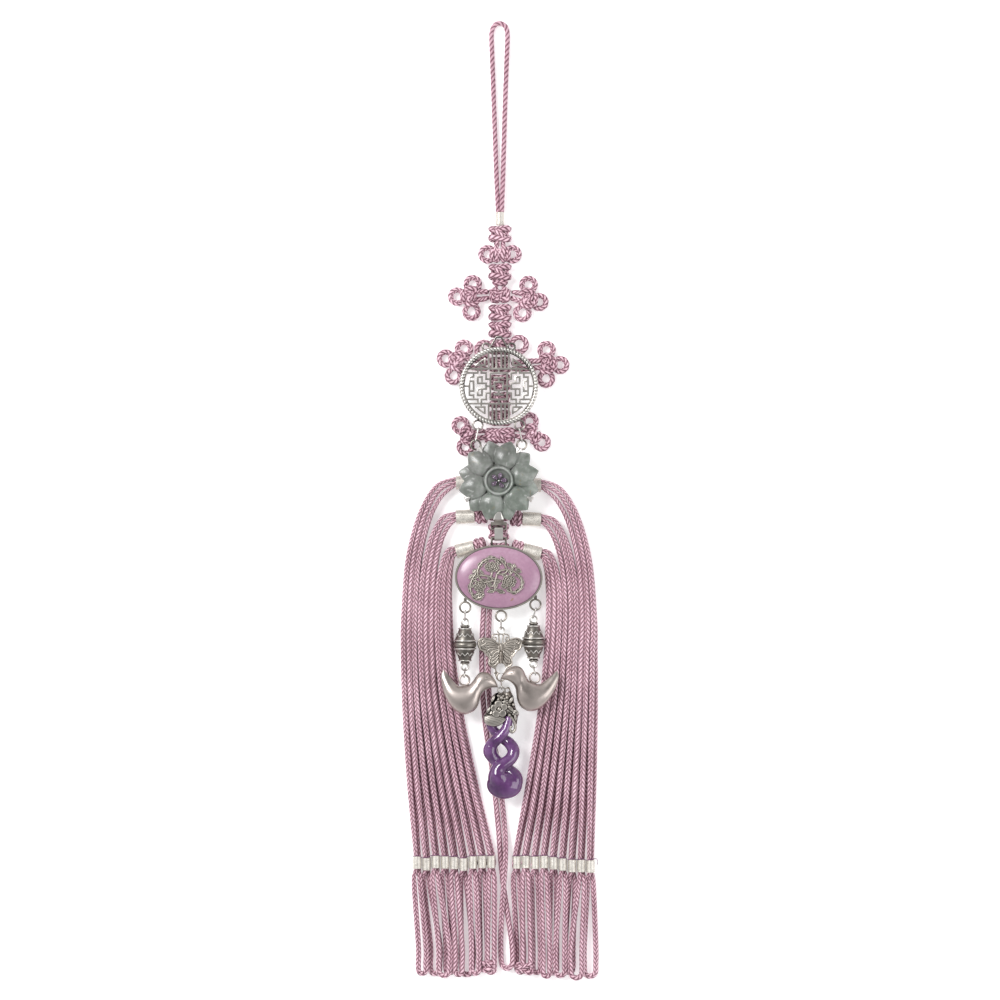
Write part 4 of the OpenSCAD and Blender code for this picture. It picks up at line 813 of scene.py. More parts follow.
def jade_height(x, y):
    """Height of the carved face: the highest of the petals that reach over a point."""
    top = JADE_T * 0.48
    for i, tip in enumerate(PETAL_TIPS[:12]):
        t = math.radians(tip)
        s, d = x * math.cos(t) + y * math.sin(t), y * math.cos(t) - x * math.sin(t)
        middle, half_l, half_w = (12.1, 4.7, 3.9) if i % 2 else (10.9, 6.2, 4.65)
        reach = 1 - abs((s - middle) / half_l) ** 2.6
        if reach <= 0:
            continue
        q = abs(d) / (half_w * reach ** 0.5)
        if q >= 1:
            continue
        if i % 2:
            crest = JADE_T * (0.7 - 0.16 * ((s - 11.5) / 5) ** 2)
        else:
            crest = JADE_T * (0.98 - 0.36 * max(0, (s - 9.3) / 7) ** 1.7 - 0.16
                * max(0, (8.6 - s) / 3.4) ** 2)
        top = max(top, crest - (1.1 if i % 2 else 1.6) * q ** 1.9)
    return top


AROUND = 360
rows = []
for k in range(AROUND):
    a = 360 * k / AROUND
    edge, ca, sa = jade_edge(a), math.cos(math.radians(a)), math.sin(math.radians(a))
    column = [(4.4, JADE_T * 0.66), (4.55, JADE_T * 0.7), (4.7, JADE_T * 0.84), (4.95, JADE_T * 0.93),
        (5.3, JADE_T * 0.95), (5.6, JADE_T * 0.92), (5.85, JADE_T * 0.8), (6.1, JADE_T * 0.7)]
    for r in np.linspace(6.4, edge * 0.965, 24):
        column.append((r, jade_height(r * ca, r * sa)))
    lip = column[-1][1]
    column += [(edge * 0.985, lip - 0.15), (edge * 0.998, lip * 0.88), (edge, lip * 0.66),
        (edge * 0.985, JADE_T * 0.24), (edge * 0.9, JADE_T * 0.13), (edge * 0.66, 0.02)]
    rows.append([(r * ca, r * sa, z) for r, z in column])
verts = [(x + MIDDLE_X, y + JADE_Y, z + JADE_Z) for row in rows for x, y, z in row]
verts += [(MIDDLE_X, JADE_Y, JADE_Z + JADE_T * 0.64), (MIDDLE_X, JADE_Y, JADE_Z + 0.02)]


def stone_faces(around, deep):
    """Faces of a stone given by its cuts from middle to foot, with its top and its foot as last points."""
    faces = []
    for k in range(around):
        j = (k + 1) % around
        for i in range(deep - 1):
            faces.append((k * deep + i, k * deep + i + 1, j * deep + i + 1, j * deep + i))
        faces.append((around * deep, k * deep, j * deep))
        faces.append((around * deep + 1, j * deep + deep - 1, k * deep + deep - 1))
    return faces


def shaped_piece(name, verts, faces, material, nodes, smoothing=0):
    """A mesh given in millimetres as a finished piece that rides on the norigae."""
    made = new_object(name, verts, faces)
    made.data.validate()
    made.data.materials.append(material)
    if smoothing:
        smoother = made.modifiers.new("smoothed", "SMOOTH")
        smoother.iterations = smoothing
        smoother.factor = 0.5
        bpy.context.view_layer.objects.active = made
        bpy.ops.object.modifier_apply(modifier="smoothed")
    made.data.polygons.foreach_set("use_smooth", [True] * len(made.data.polygons))
    settle(made, nodes)
    return made


def colour_mix(tree, share, under, over):
    """One colour laid over another by its share."""
    made = tree.nodes.new("ShaderNodeMix")
    made.data_type = "RGBA"
    tree.links.new(share, made.inputs[0])
    tree.links.new(under, made.inputs[6])
    if isinstance(over, tuple):
        made.inputs[7].default_value = (*over, 1)
    else:
        tree.links.new(over, made.inputs[7])
    return made.outputs[2]


def jade_material():
    """Polished grey-green jade: cloudy, a little translucent, greener to one side, with rusty flaws, a
    painted highlight on its petal rims and painted shade in the valleys.
    """
    made, tree, shader = new_material("jade", Roughness=0.34, Subsurface_Weight=0.4, Subsurface_Scale=0.003,
        Subsurface_Radius=(0.7, 1.0, 0.75), IOR=1.6, Coat_Weight=0.25, Coat_Roughness=0.18)
    place = add_node(tree, "ShaderNodeTexCoord")
    cloud = noise(tree, place, Scale=95.0, Detail=6.0, Roughness=0.6)
    speck = noise(tree, place, Scale=520.0, Detail=4.0)
    vein = noise(tree, place, Scale=230.0, Detail=5.0, Distortion=1.4)
    split = tree.nodes.new("ShaderNodeSeparateXYZ")
    tree.links.new(place.outputs["Object"], split.inputs[0])
    downwards = maths(tree, "SUBTRACT", split.outputs[1], JADE_Y * MM)
    side = maths(tree, "SUBTRACT", maths(tree, "MULTIPLY", split.outputs[0], 16),
        maths(tree, "MULTIPLY", downwards, 20))
    # Painted light: rims and tips are painted paler and the valleys between petals darker, by the surface's
    # pointiness.
    worn = maths(tree, "SUBTRACT", tree.nodes.new("ShaderNodeNewGeometry").outputs["Pointiness"], 0.5)
    tone = blend(tree, (cloud, 0.8), (speck, 0.25), (worn, 1.6))
    grey = colour_ramp(tree, tone, [(0.4, (0.12, 0.124, 0.112)), (0.54, (0.205, 0.21, 0.196)),
        (0.7, (0.38, 0.378, 0.37))])
    green = colour_ramp(tree, tone, [(0.4, (0.09, 0.12, 0.095)), (0.54, (0.172, 0.21, 0.174)),
        (0.7, (0.34, 0.372, 0.338))])
    stone = colour_mix(tree, maths(tree, "ADD", side, 0.35), grey, green)
    rust = colour_ramp(tree, vein, [(0.66, (0, 0, 0)), (0.74, (1, 1, 1))])
    stained = colour_mix(tree, maths(tree, "MULTIPLY", rust, 0.7), stone, (0.24, 0.2, 0.12))
    tree.links.new(stained, shader.inputs["Base Color"])
    bumped(tree, shader, vein, 0.12, 0.0003)
    return made


jade = jade_material()
shaped_piece("carved_jade_flower", verts, stone_faces(AROUND, len(rows[0])), jade, ["jade_flower"],
    smoothing=3)

# Claws: folded silver that comes up in the valleys of the stone and is bent over its edge.
# Four are small and pointed, and the one above the strap is broad.
for n, (angle, out, wide, tip) in enumerate([(120.5, 14.75, 1.3, 12.9), (57, 14.85, 1.3, 13),
        (210, 14.7, 1.2, 13.1), (330.5, 14.7, 1.2, 13.1), (269.5, 14.9, 2.25, 12.4)]):
    ca, sa = math.cos(math.radians(angle)), math.sin(math.radians(angle))
    blunt, crest = (1, 1.5) if n == 4 else (0.15, 0.3)
    edge_z, tip_z = [JADE_Z + jade_height(r * ca, r * sa) for r in (13.7, tip)]
    marks = [(out, 0.8, 5.6), (out + 0.6, 0.8, 5.6), (out + 0.75, wide, edge_z - 0.9),
        (out + 0.2, wide, edge_z - 0.1), (out + 0.55, crest, edge_z + 0.35), (tip, blunt, tip_z + 0.15),
        (tip, blunt, tip_z - 0.1)]
    points = [(MIDDLE_X + r * ca - w * side * sa, JADE_Y + r * sa + w * side * ca, z)
        for r, w, z in marks for side in (-1, 1)]
    claw = new_object(f"claw_{n + 1}", points, [])
    bpy.context.view_layer.objects.active = claw
    claw.select_set(True)
    bpy.ops.object.mode_set(mode="EDIT")
    bpy.ops.mesh.select_all(action="SELECT")
    bpy.ops.mesh.convex_hull()
    bpy.ops.object.mode_set(mode="OBJECT")
    edge = claw.modifiers.new("edge", "BEVEL")
    edge.width = 0.0002
    edge.segments = 3
    bpy.ops.object.modifier_apply(modifier="edge")
    claw.data.materials.append(bright_silver)
    claw.select_set(False)
    settle(claw)

# Amethyst flower in the middle of the jade: five rounded petals, each scooped, round a small bead.
# It is carved in one piece and set in the ring.
def amethyst_material(name, deep, middle, pale, weight, clear=0.0):
    """Amethyst: clear violet with darker zones and pale veils inside, under a wet polish."""
    made, tree, shader = new_material(name, Roughness=0.07, IOR=1.54, Transmission_Weight=clear,
        Coat_Weight=0.6, Coat_Roughness=0.03, Subsurface_Weight=weight, Subsurface_Scale=0.003,
        Subsurface_Radius=(0.8, 0.45, 1.0))
    place = add_node(tree, "ShaderNodeTexCoord")
    zone = noise(tree, place, Scale=70.0, Detail=3.0, Distortion=0.6)
    veil = noise(tree, place, Scale=420.0, Detail=6.0)
    shade = colour_ramp(tree, blend(tree, (zone, 0.75), (veil, 0.2)),
        [(0.32, deep), (0.48, middle), (0.66, pale)])
    tree.links.new(shade, shader.inputs["Base Color"])
    return made


pale_amethyst = amethyst_material("pale_amethyst", (0.17, 0.11, 0.17), (0.33, 0.24, 0.34), (0.6, 0.51, 0.6),
    0.2, 0.55)
FLOWER_Z = JADE_Z + JADE_T * 0.64 + 0.15
petals = []
for k, angle in enumerate((75, 140, 213, 300, 6)):
    t = math.radians(angle)
    bpy.ops.mesh.primitive_uv_sphere_add(segments=24, ring_count=14, radius=MM, rotation=(0, 0, t),
        location=((MIDDLE_X + 1.95 * math.cos(t)) * MM, (JADE_Y + 1.95 * math.sin(t)) * MM,
        (FLOWER_Z + 0.82) * MM), scale=(1.3, 1.02 + 0.08 * (k == 4), 0.8))
    petal = bpy.context.object
    for v in petal.data.vertices:
        v.co.y *= 0.62 + 0.38 * (v.co.x / MM + 1) / 2
        v.co.z -= 0.2 * MM * math.exp(-(v.co.y / MM / 0.3) ** 2) * (v.co.z > 0) * (v.co.x > -0.5 * MM)
    petals.append(petal)
bpy.ops.object.select_all(action="DESELECT")
for petal in petals:
    petal.select_set(True)
bpy.context.view_layer.objects.active = petals[0]
bpy.ops.object.join()
bpy.ops.object.transform_apply(location=True, rotation=True, scale=True)
bpy.ops.object.shade_smooth()
petals[0].name = "amethyst_flower"
petals[0].data.materials.append(pale_amethyst)
petals[0].select_set(False)
settle(petals[0], ["flower_centre"])
bpy.ops.mesh.primitive_uv_sphere_add(segments=16, ring_count=10, radius=0.42 * MM,
    location=(MIDDLE_X * MM, JADE_Y * MM, (FLOWER_Z + 0.95) * MM))
bpy.ops.object.transform_apply(location=True, rotation=True, scale=True)
bpy.ops.object.shade_smooth()
pin = bpy.context.object
pin.name = "flower_pin"
pin.data.materials.append(bright_silver)
pin.select_set(False)
settle(pin)

# Plaque: an oval cabochon of lilac stone, domed and very glossy, held by the silver bezel.
# A rusty flaw shows low on its right side.
PLAQUE_A, PLAQUE_B = 17.45 - 0.85, 12.95 - 0.85
PLAQUE_BASE, DOME = 8.35, 2.4


def plaque_face(x, y):
    """Height of the stone's domed face at a place measured from its middle."""
    share = np.minimum(np.hypot(x / PLAQUE_A, y / PLAQUE_B), 1)
    return PLAQUE_BASE + DOME * (1 - share ** 2.6) ** 0.62


lilac_stone, tree, shader = new_material("lilac_stone", Roughness=0.3, Coat_Weight=0.45, Coat_Roughness=0.2,
    Subsurface_Weight=0.25, Subsurface_Scale=0.002, Subsurface_Radius=(1.0, 0.6, 0.9), IOR=1.5)
place = add_node(tree, "ShaderNodeTexCoord")
cloud = noise(tree, place, Scale=60.0, Detail=3.0)
speck = noise(tree, place, Scale=900.0, Detail=3.0)
lilac = colour_ramp(tree, blend(tree, (cloud, 0.6), (speck, 0.3)), [(0.32, (0.37, 0.2, 0.3)),
    (0.5, (0.45, 0.26, 0.365)), (0.64, (0.53, 0.34, 0.45))])
turn = add_node(tree, "ShaderNodeMapping")
turn.vector_type = "TEXTURE"
turn.inputs["Location"].default_value = (4.9 * MM, -2.1 * MM, 0)
turn.inputs["Rotation"].default_value = (0, 0, math.radians(40))
turn.inputs["Scale"].default_value = (1.1 * MM, 0.45 * MM, 1)
tree.links.new(place.outputs["Object"], turn.inputs["Vector"])
blot = tree.nodes.new("ShaderNodeVectorMath")
blot.operation = "LENGTH"
flat = add_node(tree, "ShaderNodeVectorMath")
flat.operation = "MULTIPLY"
flat.inputs[1].default_value = (1, 1, 0)
tree.links.new(turn.outputs[0], flat.inputs[0])
tree.links.new(flat.outputs[0], blot.inputs[0])
ragged = maths(tree, "ADD", blot.outputs[1], maths(tree, "MULTIPLY", speck, 0.9))
flaw = maths(tree, "MULTIPLY", maths(tree, "LESS_THAN", ragged, 1.25), 0.75)
tree.links.new(colour_mix(tree, flaw, lilac, (0.33, 0.2, 0.12)), shader.inputs["Base Color"])
verts = []
shares = list(np.linspace(0.08, 0.85, 11)) + [0.9, 0.94, 0.97, 0.99, 1.0, 1.001]
PLAQUE_FOOT = PLAQUE_BASE - 2.2
tilt = math.radians(-1.5)
for k in range(128):
    a = 2 * math.pi * k / 128
    for share in shares:
        x, y = PLAQUE_A * share * math.cos(a), PLAQUE_B * share * math.sin(a)
        verts.append((MIDDLE_X + x * math.cos(tilt) - y * math.sin(tilt),
            PLAQUE_Y + x * math.sin(tilt) + y * math.cos(tilt), plaque_face(x, y) if share <= 1
            else PLAQUE_FOOT))
verts += [(MIDDLE_X, PLAQUE_Y, PLAQUE_BASE + DOME), (MIDDLE_X, PLAQUE_Y, PLAQUE_FOOT)]
shaped_piece("polished_plaque", verts, stone_faces(128, len(shares)), lilac_stone, ["plaque"])

# Silver peony vine on the plaque: cast openwork, blackened, with painted shade in its low parts and a painted
# highlight on its raised lines.
# Three blooms, a bent vine with sprays at both sides and a spread of leaves at its foot.
# It was drawn 36 units to the millimetre, so the lists below are in those units.
VINE_UNIT = 0.02774
VINE_STEMS = [[(560, 735), (505, 690), (468, 630), (463, 565), (482, 505), (530, 440), (600, 398),
    (680, 388), (745, 396), (800, 425), (850, 475), (878, 530)], [(720, 690), (742, 610), (785, 566),
    (850, 550), (896, 552)], [(896, 552), (868, 594), (812, 616), (752, 606), (785, 575)],
    [(690, 672), (625, 645), (560, 632), (495, 630)], [(672, 560), (668, 600), (655, 645)],
    [(896, 552), (950, 560), (1010, 590), (1062, 640), (1095, 700), (1102, 770), (1082, 830), (1030, 868),
    (960, 872), (900, 855)], [(440, 610), (405, 650), (378, 710), (352, 780), (362, 860), (400, 930),
    (450, 966), (505, 950), (545, 905)], [(560, 735), (610, 725), (680, 705), (712, 700), (700, 775),
    (712, 845)], [(920, 770), (935, 815), (945, 850)], [(400, 690), (425, 712), (445, 705)],]
VINE_LEAVES = [(640, 378, 42, 26, -35), (700, 388, 40, 24, 20), (600, 405, 40, 26, -30),
    (556, 428, 42, 30, -40), (500, 482, 46, 32, -60), (820, 405, 50, 24, 65), (845, 440, 34, 20, 60),
    (770, 455, 36, 16, 40), (740, 430, 30, 14, 20), (520, 590, 46, 20, 65), (425, 572, 40, 30, -45),
    (375, 650, 46, 30, -40), (430, 650, 40, 26, 20), (420, 700, 40, 18, 50), (385, 720, 40, 18, -65),
    (925, 485, 46, 26, 35), (975, 500, 40, 24, -60), (1050, 562, 48, 28, 30), (935, 585, 44, 26, 100),
    (905, 560, 30, 18, 30), (1030, 630, 36, 20, 10), (1075, 660, 44, 22, 60), (1105, 735, 44, 24, 100),
    (1090, 800, 46, 24, 115), (1040, 850, 44, 26, 150), (985, 880, 48, 22, 0), (910, 845, 40, 22, 30),
    (840, 780, 44, 40, 0), (855, 632, 34, 18, 0), (750, 712, 52, 34, -10), (700, 700, 34, 26, 60),
    (640, 690, 44, 26, 50), (560, 700, 48, 24, 15), (640, 768, 48, 34, 20), (718, 775, 46, 30, 90),
    (662, 852, 62, 28, -15), (792, 858, 66, 28, 20), (350, 800, 46, 22, 80), (362, 860, 44, 22, 65),
    (395, 915, 44, 22, 60), (430, 960, 46, 24, 15), (490, 965, 46, 24, -15), (530, 915, 46, 26, -65),
    (470, 905, 44, 30, -20), (385, 770, 40, 18, 75), (560, 770, 36, 18, 60),]
VINE_BLOOMS = [(670, 512, 112, 70, 0.0), (918, 718, 104, 88, 0.7), (492, 790, 84, 84, 1.6)]
VINE_BEADS = [(1005, 505, 18), (965, 542, 14)]
PEONY_ROUNDS = ((8, 0.66, 0.36, 0.42), (6, 0.42, 0.32, 0.58), (4, 0.2, 0.24, 0.74), (1, 0, 0.14, 0.95))


def stroke_distance(x, y, points):
    """Distance from grid places to a bent stroke."""
    best = np.full(x.shape, 1e9)
    for (ax, ay), (bx, by) in zip(points[:-1], points[1:]):
        dx, dy = bx - ax, by - ay
        t = np.clip(((x - ax) * dx + (y - ay) * dy) / (dx * dx + dy * dy), 0, 1)
        best = np.minimum(best, np.hypot(x - ax - t * dx, y - ay - t * dy))
    return best


def leaf_field(x, y, leaf):
    """Inside a pointed leaf below 0, and where across and along it a place lies."""
    cx, cy, half_l, half_w, angle = leaf
    a = math.radians(angle)
    u = (x - cx) * math.cos(a) + (y - cy) * math.sin(a)
    v = -(x - cx) * math.sin(a) + (y - cy) * math.cos(a)
    s = np.clip(np.abs(u) / half_l, 0, 1)
    wide = half_w * (1 - s ** 1.7)
    field = np.where(np.abs(u) < half_l, np.abs(v) - wide, np.hypot(np.abs(u) - half_l, v))
    return field, u, v


def relief_piece(name, low, high, step, field_of, top_of, base_of, material, nodes):
    """A cast plate: a fine grid cut to its outline, with relief in front and a flat or hollow back."""
    nx, ny = int((high[0] - low[0]) / step) + 1, int((high[1] - low[1]) / step) + 1
    gx, gy = np.meshgrid(low[0] + step * np.arange(nx), low[1] + step * np.arange(ny), indexing="ij")
    field = field_of(gx, gy)
    ddx, ddy = np.gradient(field, step)
    slope = np.maximum(ddx ** 2 + ddy ** 2, 0.05)
    inside = field < 0
    cell = (inside[:-1, :-1].astype(int) + inside[1:, :-1] + inside[:-1, 1:] + inside[1:, 1:]) >= 2
    used = np.zeros_like(inside)
    for corner in (used[:-1, :-1], used[1:, :-1], used[:-1, 1:], used[1:, 1:]):
        corner |= cell
    near = used & (np.abs(field) < step * 1.2)
    pull = np.clip(np.where(near & (field > 0), field, 0) / slope, 0, step)
    px, py = gx - pull * ddx, gy - pull * ddy
    top, base = top_of(px, py), base_of(px, py)
    here = np.where(used, top, base)
    # Painted shade and highlight, partly for tarnish left in the hollows: each place is darker the lower it
    # lies below its neighbours and paler the higher it stands.
    around = here
    for axis in (0, 1, 0, 1):
        around = sum(np.roll(around, k, axis) for k in range(-2, 3)) / 5
    wear_and_painted_shade = np.clip(0.5 + (here - around) / 0.3, 0, 1)
    index = -np.ones(inside.shape, int)
    index[used] = np.arange(used.sum())
    count = int(used.sum())
    verts = np.concatenate([np.stack([px[used], py[used], level[used]], 1) for level in (top, base)])
    faces = []
    for i, j in zip(*np.nonzero(cell)):
        a, b, c, d = index[i, j], index[i + 1, j], index[i + 1, j + 1], index[i, j + 1]
        faces.append((a, b, c, d))
        faces.append((a + count, d + count, c + count, b + count))
        if j == 0 or not cell[i, j - 1]:
            faces.append((b, a, a + count, b + count))
        if j == cell.shape[1] - 1 or not cell[i, j + 1]:
            faces.append((d, c, c + count, d + count))
        if i == 0 or not cell[i - 1, j]:
            faces.append((a, d, d + count, a + count))
        if i == cell.shape[0] - 1 or not cell[i + 1, j]:
            faces.append((c, b, b + count, c + count))
    made = shaped_piece(name, verts, faces, material, nodes, smoothing=1)
    # The attribute carries that painted shade and highlight; the back gets a flat darker value.
    polish = made.data.attributes.new("wear_and_painted_shade", "FLOAT", "POINT")
    polish.data.foreach_set("value", np.concatenate([wear_and_painted_shade[used], np.full(count, 0.3)]).astype(np.float32))
    return made


def vine_units(x, y):
    """From the norigae's millimetres to the drawing's units."""
    return (x + 21.79) / VINE_UNIT, (24.99 - y) / VINE_UNIT


def bloom_petals(bloom):
    """Petals of a peony from the outside in: place, radius and lift of each."""
    bx, by, rx, ry, turn_by = bloom
    petals = []
    for count, reach, size, lift in PEONY_ROUNDS:
        for k in range(count):
            a = turn_by + 2 * math.pi * (k + 0.3 * lift) / count
            petals.append((bx + reach * rx * math.cos(a), by + reach * ry * math.sin(a),
                size * (rx + ry) / 2, lift, a))
    return petals


def vine_field(x, y):
    """How far a place is outside the vine, below 0 on it."""
    cx, cy = vine_units(x, y)
    field = np.full(x.shape, 1e9)
    for stem in VINE_STEMS:
        field = np.minimum(field, stroke_distance(cx, cy, stem) - 16)
    for leaf in VINE_LEAVES:
        field = np.minimum(field, leaf_field(cx, cy, leaf)[0] - 7)
    for bloom in VINE_BLOOMS:
        for px, py, r, *_ in bloom_petals(bloom):
            field = np.minimum(field, np.hypot(cx - px, cy - py) - r - 3)
    for bx, by, r in VINE_BEADS:
        field = np.minimum(field, np.hypot(cx - bx, cy - by) - r)
    return field * VINE_UNIT


def vine_top(x, y):
    """Height of the cast face: leaves with rim, rib and side veins, round stems, cupped petals and beads."""
    cx, cy = vine_units(x, y)
    rise = np.full(x.shape, 0.3)
    for leaf in VINE_LEAVES:
        field, u, v = leaf_field(cx, cy, leaf)
        edge = np.exp(-(field / 6) ** 2)
        rib = 0.8 * np.exp(-(v / 3.4) ** 2) * (np.abs(u) < leaf[2] * 0.85)
        side = 0.3 * np.exp(-(np.sin((u - np.abs(v)) / 6.5) / 0.5) ** 2)
        rise = np.where(field < 5, 0.34 + 0.42 * np.maximum(np.maximum(edge, rib), side), rise)
    for stem in VINE_STEMS:
        far = stroke_distance(cx, cy, stem)
        rise = np.maximum(rise, 0.92 * np.sqrt(np.clip(1 - (far / 14) ** 2, 0, 1)))
    for bloom in VINE_BLOOMS:
        for px, py, r, lift, out in bloom_petals(bloom):
            u, v = cx - px, cy - py
            share = np.hypot(u, v) / r * (1 + 0.09 * np.cos(5 * np.arctan2(v, u) + 3 * out))
            edge = np.exp(-((share - 0.86) / 0.15) ** 2)
            fold = 0.45 * np.exp(-((u * math.sin(out) - v * math.cos(out)) / (0.14 * r)) ** 2)
            rise = np.where(share < 1.02, lift + 0.34 * np.maximum(edge, fold), rise)
    for bx, by, r in VINE_BEADS:
        rise = np.maximum(rise, 0.5 + 0.5 * np.sqrt(np.clip(1 - np.hypot(cx - bx, cy - by) / r, 0, 1)))
    return plaque_face(x - MIDDLE_X, y - PLAQUE_Y) + 0.05 + rise * 0.95


def vine_base(x, y):
    """The vine's back, just over the stone."""
    return plaque_face(x - MIDDLE_X, y - PLAQUE_Y) + 0.03


relief_piece("silver_peony_vine", (-12.9, -3.2), (10.2, 16), 0.09, vine_field, vine_top, vine_base,
    cast_silver, ["plaque_applique"])

# Lanterns: two hollow silver beads on jump rings, each spun to a double cone with a round belt.
# Twisted wire is soldered round them, with a zigzag of plain wire above and below the belt.
LANTERN_Z = 4.7
LANTERNS = (("left", -13.96, -20.23), ("right", 13.38, -19.18))
LANTERN_PROFILE = [(7.65, 0.02), (7.65, 1.75), (7.5, 1.88), (7.2, 1.88), (7.05, 1.7), (6.85, 1.6),
    (6.7, 1.72), (6.3, 2.2), (6.1, 2.4), (5.2, 2.75), (4.4, 3.05), (3.6, 3.38), (2.8, 3.72), (2.2, 3.92),
    (1.75, 4.02), (1.3, 4.1), (1.05, 4.05), (0.98, 4.3), (0.75, 4.5), (0.4, 4.63), (0, 4.68), (-0.4, 4.63),
    (-0.75, 4.5), (-0.98, 4.3), (-1.05, 4.05), (-1.3, 4.1), (-1.75, 4.02), (-2.2, 3.92), (-2.8, 3.68),
    (-3.6, 3.3), (-4.4, 2.95), (-5.2, 2.7), (-6.1, 2.35), (-6.3, 2.2), (-6.7, 1.72), (-6.85, 1.6),
    (-7.05, 1.72), (-7.2, 1.95), (-7.5, 1.95), (-7.65, 1.8), (-7.65, 0.02)]


def spun(profile, middle):
    """Rings of a turned body that lies along Y."""
    sides = 64
    rings = np.zeros((len(profile), sides, 3))
    for i, (s, r) in enumerate(profile):
        for k in range(sides):
            a = 2 * math.pi * k / sides
            rings[i, k] = (middle[0] + r * math.cos(a), middle[1] + s, middle[2] + r * math.sin(a))
    return rings


def around_y(middle, s, r, count=48, wave=0):
    """Points round a body that lies along Y, straight or in a zigzag of ten teeth."""
    points = []
    for k in range(count):
        a = 2 * math.pi * k / count
        z = (abs((a * 10 / (2 * math.pi)) % 1 * 2 - 1) - 0.5) * 2
        radius = r - wave * z * 0.38 * (1 if s > 0 else -1)
        points.append((middle[0] + radius * math.cos(a), middle[1] + s + wave * z,
            middle[2] + radius * math.sin(a)))
    return points


def wire_ring(skein, x, y, z, r=1.35, count=24):
    """A ring of round wire, soldered shut and lying flat."""
    skein.twisted(round_line(x, y, z, r, count), 0.4, 1, step=0.2, sides=14, depth=0, closed=True)


def lantern(side, x, y):
    """One lantern: its blackened body, and the bright wires and rings soldered on it."""
    middle = (x, y, LANTERN_Z)
    body = Skein()
    body.add_rings(spun(LANTERN_PROFILE, middle)[::-1], np.arange(len(LANTERN_PROFILE)) / 3)
    body.piece(f"silver_lantern_{side}", lantern_silver, [f"lantern_{side}"])
    wires = Skein()
    for s, r, wire in ((6.35, 2.4, 0.32), (1.62, 4.3, 0.33), (-1.62, 4.3, 0.33), (-6.35, 2.38, 0.32)):
        wires.twisted(around_y(middle, s, r), wire, 0.95, strands=2, step=0.12, sides=8, depth=0.4,
            closed=True)
    for s, r in ((3.75, 3.48), (-3.85, 3.36)):
        wires.twisted(around_y(middle, s, r, count=120, wave=0.62), 0.16, 1, step=0.16, sides=8, depth=0,
            closed=True)
    for s in (8.92, -8.92):
        wire_ring(wires, x, y + s, LANTERN_Z)
    wires.piece(f"lantern_wires_{side}", bright_silver, [])


lantern_silver = silver_material("lantern_silver", (0.05, 0.045, 0.04), (0.27, 0.25, 0.225), 0.38,
    dark_share=0.44, grain=160.0)
for side, x, y in LANTERNS:
    lantern(side, x, y)

# Birds: two plump hollow silver birds facing each other, each hung from a ring soldered to its back.
# Their skin is raised from sheet and left satin, with an almond eye chased at each side of the head.
BIRD_L, BIRD_T, BIRD_Z = 22.3, 7.2, 8.572
BIRDS = (("left", -14.16, -34.25, 0, 1), ("right", 13.88, -33.2, -10, -1))
BIRD_ROWS = [[-0.39, 0.488, -0.378, 0.496, 0.006], [-0.428, 0.4, -0.325, 0.435, 0.035],
    [-0.428, 0.308, -0.27, 0.365, 0.065], [-0.407, 0.172, -0.2, 0.28, 0.1],
    [-0.365, 0.036, -0.13, 0.215, 0.13], [-0.29, -0.11, -0.06, 0.2, 0.15],
    [-0.161, -0.25, 0.01, 0.212, 0.163], [-0.002, -0.308, 0.055, 0.222, 0.168],
    [0.141, -0.258, 0.095, 0.242, 0.165], [0.225, -0.16, 0.13, 0.285, 0.158],
    [0.27, -0.03, 0.165, 0.33, 0.148], [0.3, 0.055, 0.2, 0.385, 0.146], [0.352, 0.12, 0.258, 0.436, 0.142],
    [0.42, 0.158, 0.336, 0.455, 0.134], [0.478, 0.172, 0.432, 0.424, 0.115],
    [0.525, 0.174, 0.512, 0.352, 0.082], [0.56, 0.176, 0.565, 0.262, 0.048],
    [0.586, 0.172, 0.59, 0.182, 0.006]]
BIRD_RING = (-0.01, 0.305)


def bird_place(x, y, z, bird):
    """From a bird's own drawing to its place in the norigae."""
    ring_x, ring_y, turn, facing = bird[1:]
    u, v = facing * (x - BIRD_RING[0]) * BIRD_L, (y - BIRD_RING[1]) * BIRD_L
    a = math.radians(turn)
    return (ring_x + u * math.cos(a) - v * math.sin(a), ring_y + u * math.sin(a) + v * math.cos(a),
        BIRD_Z + z)


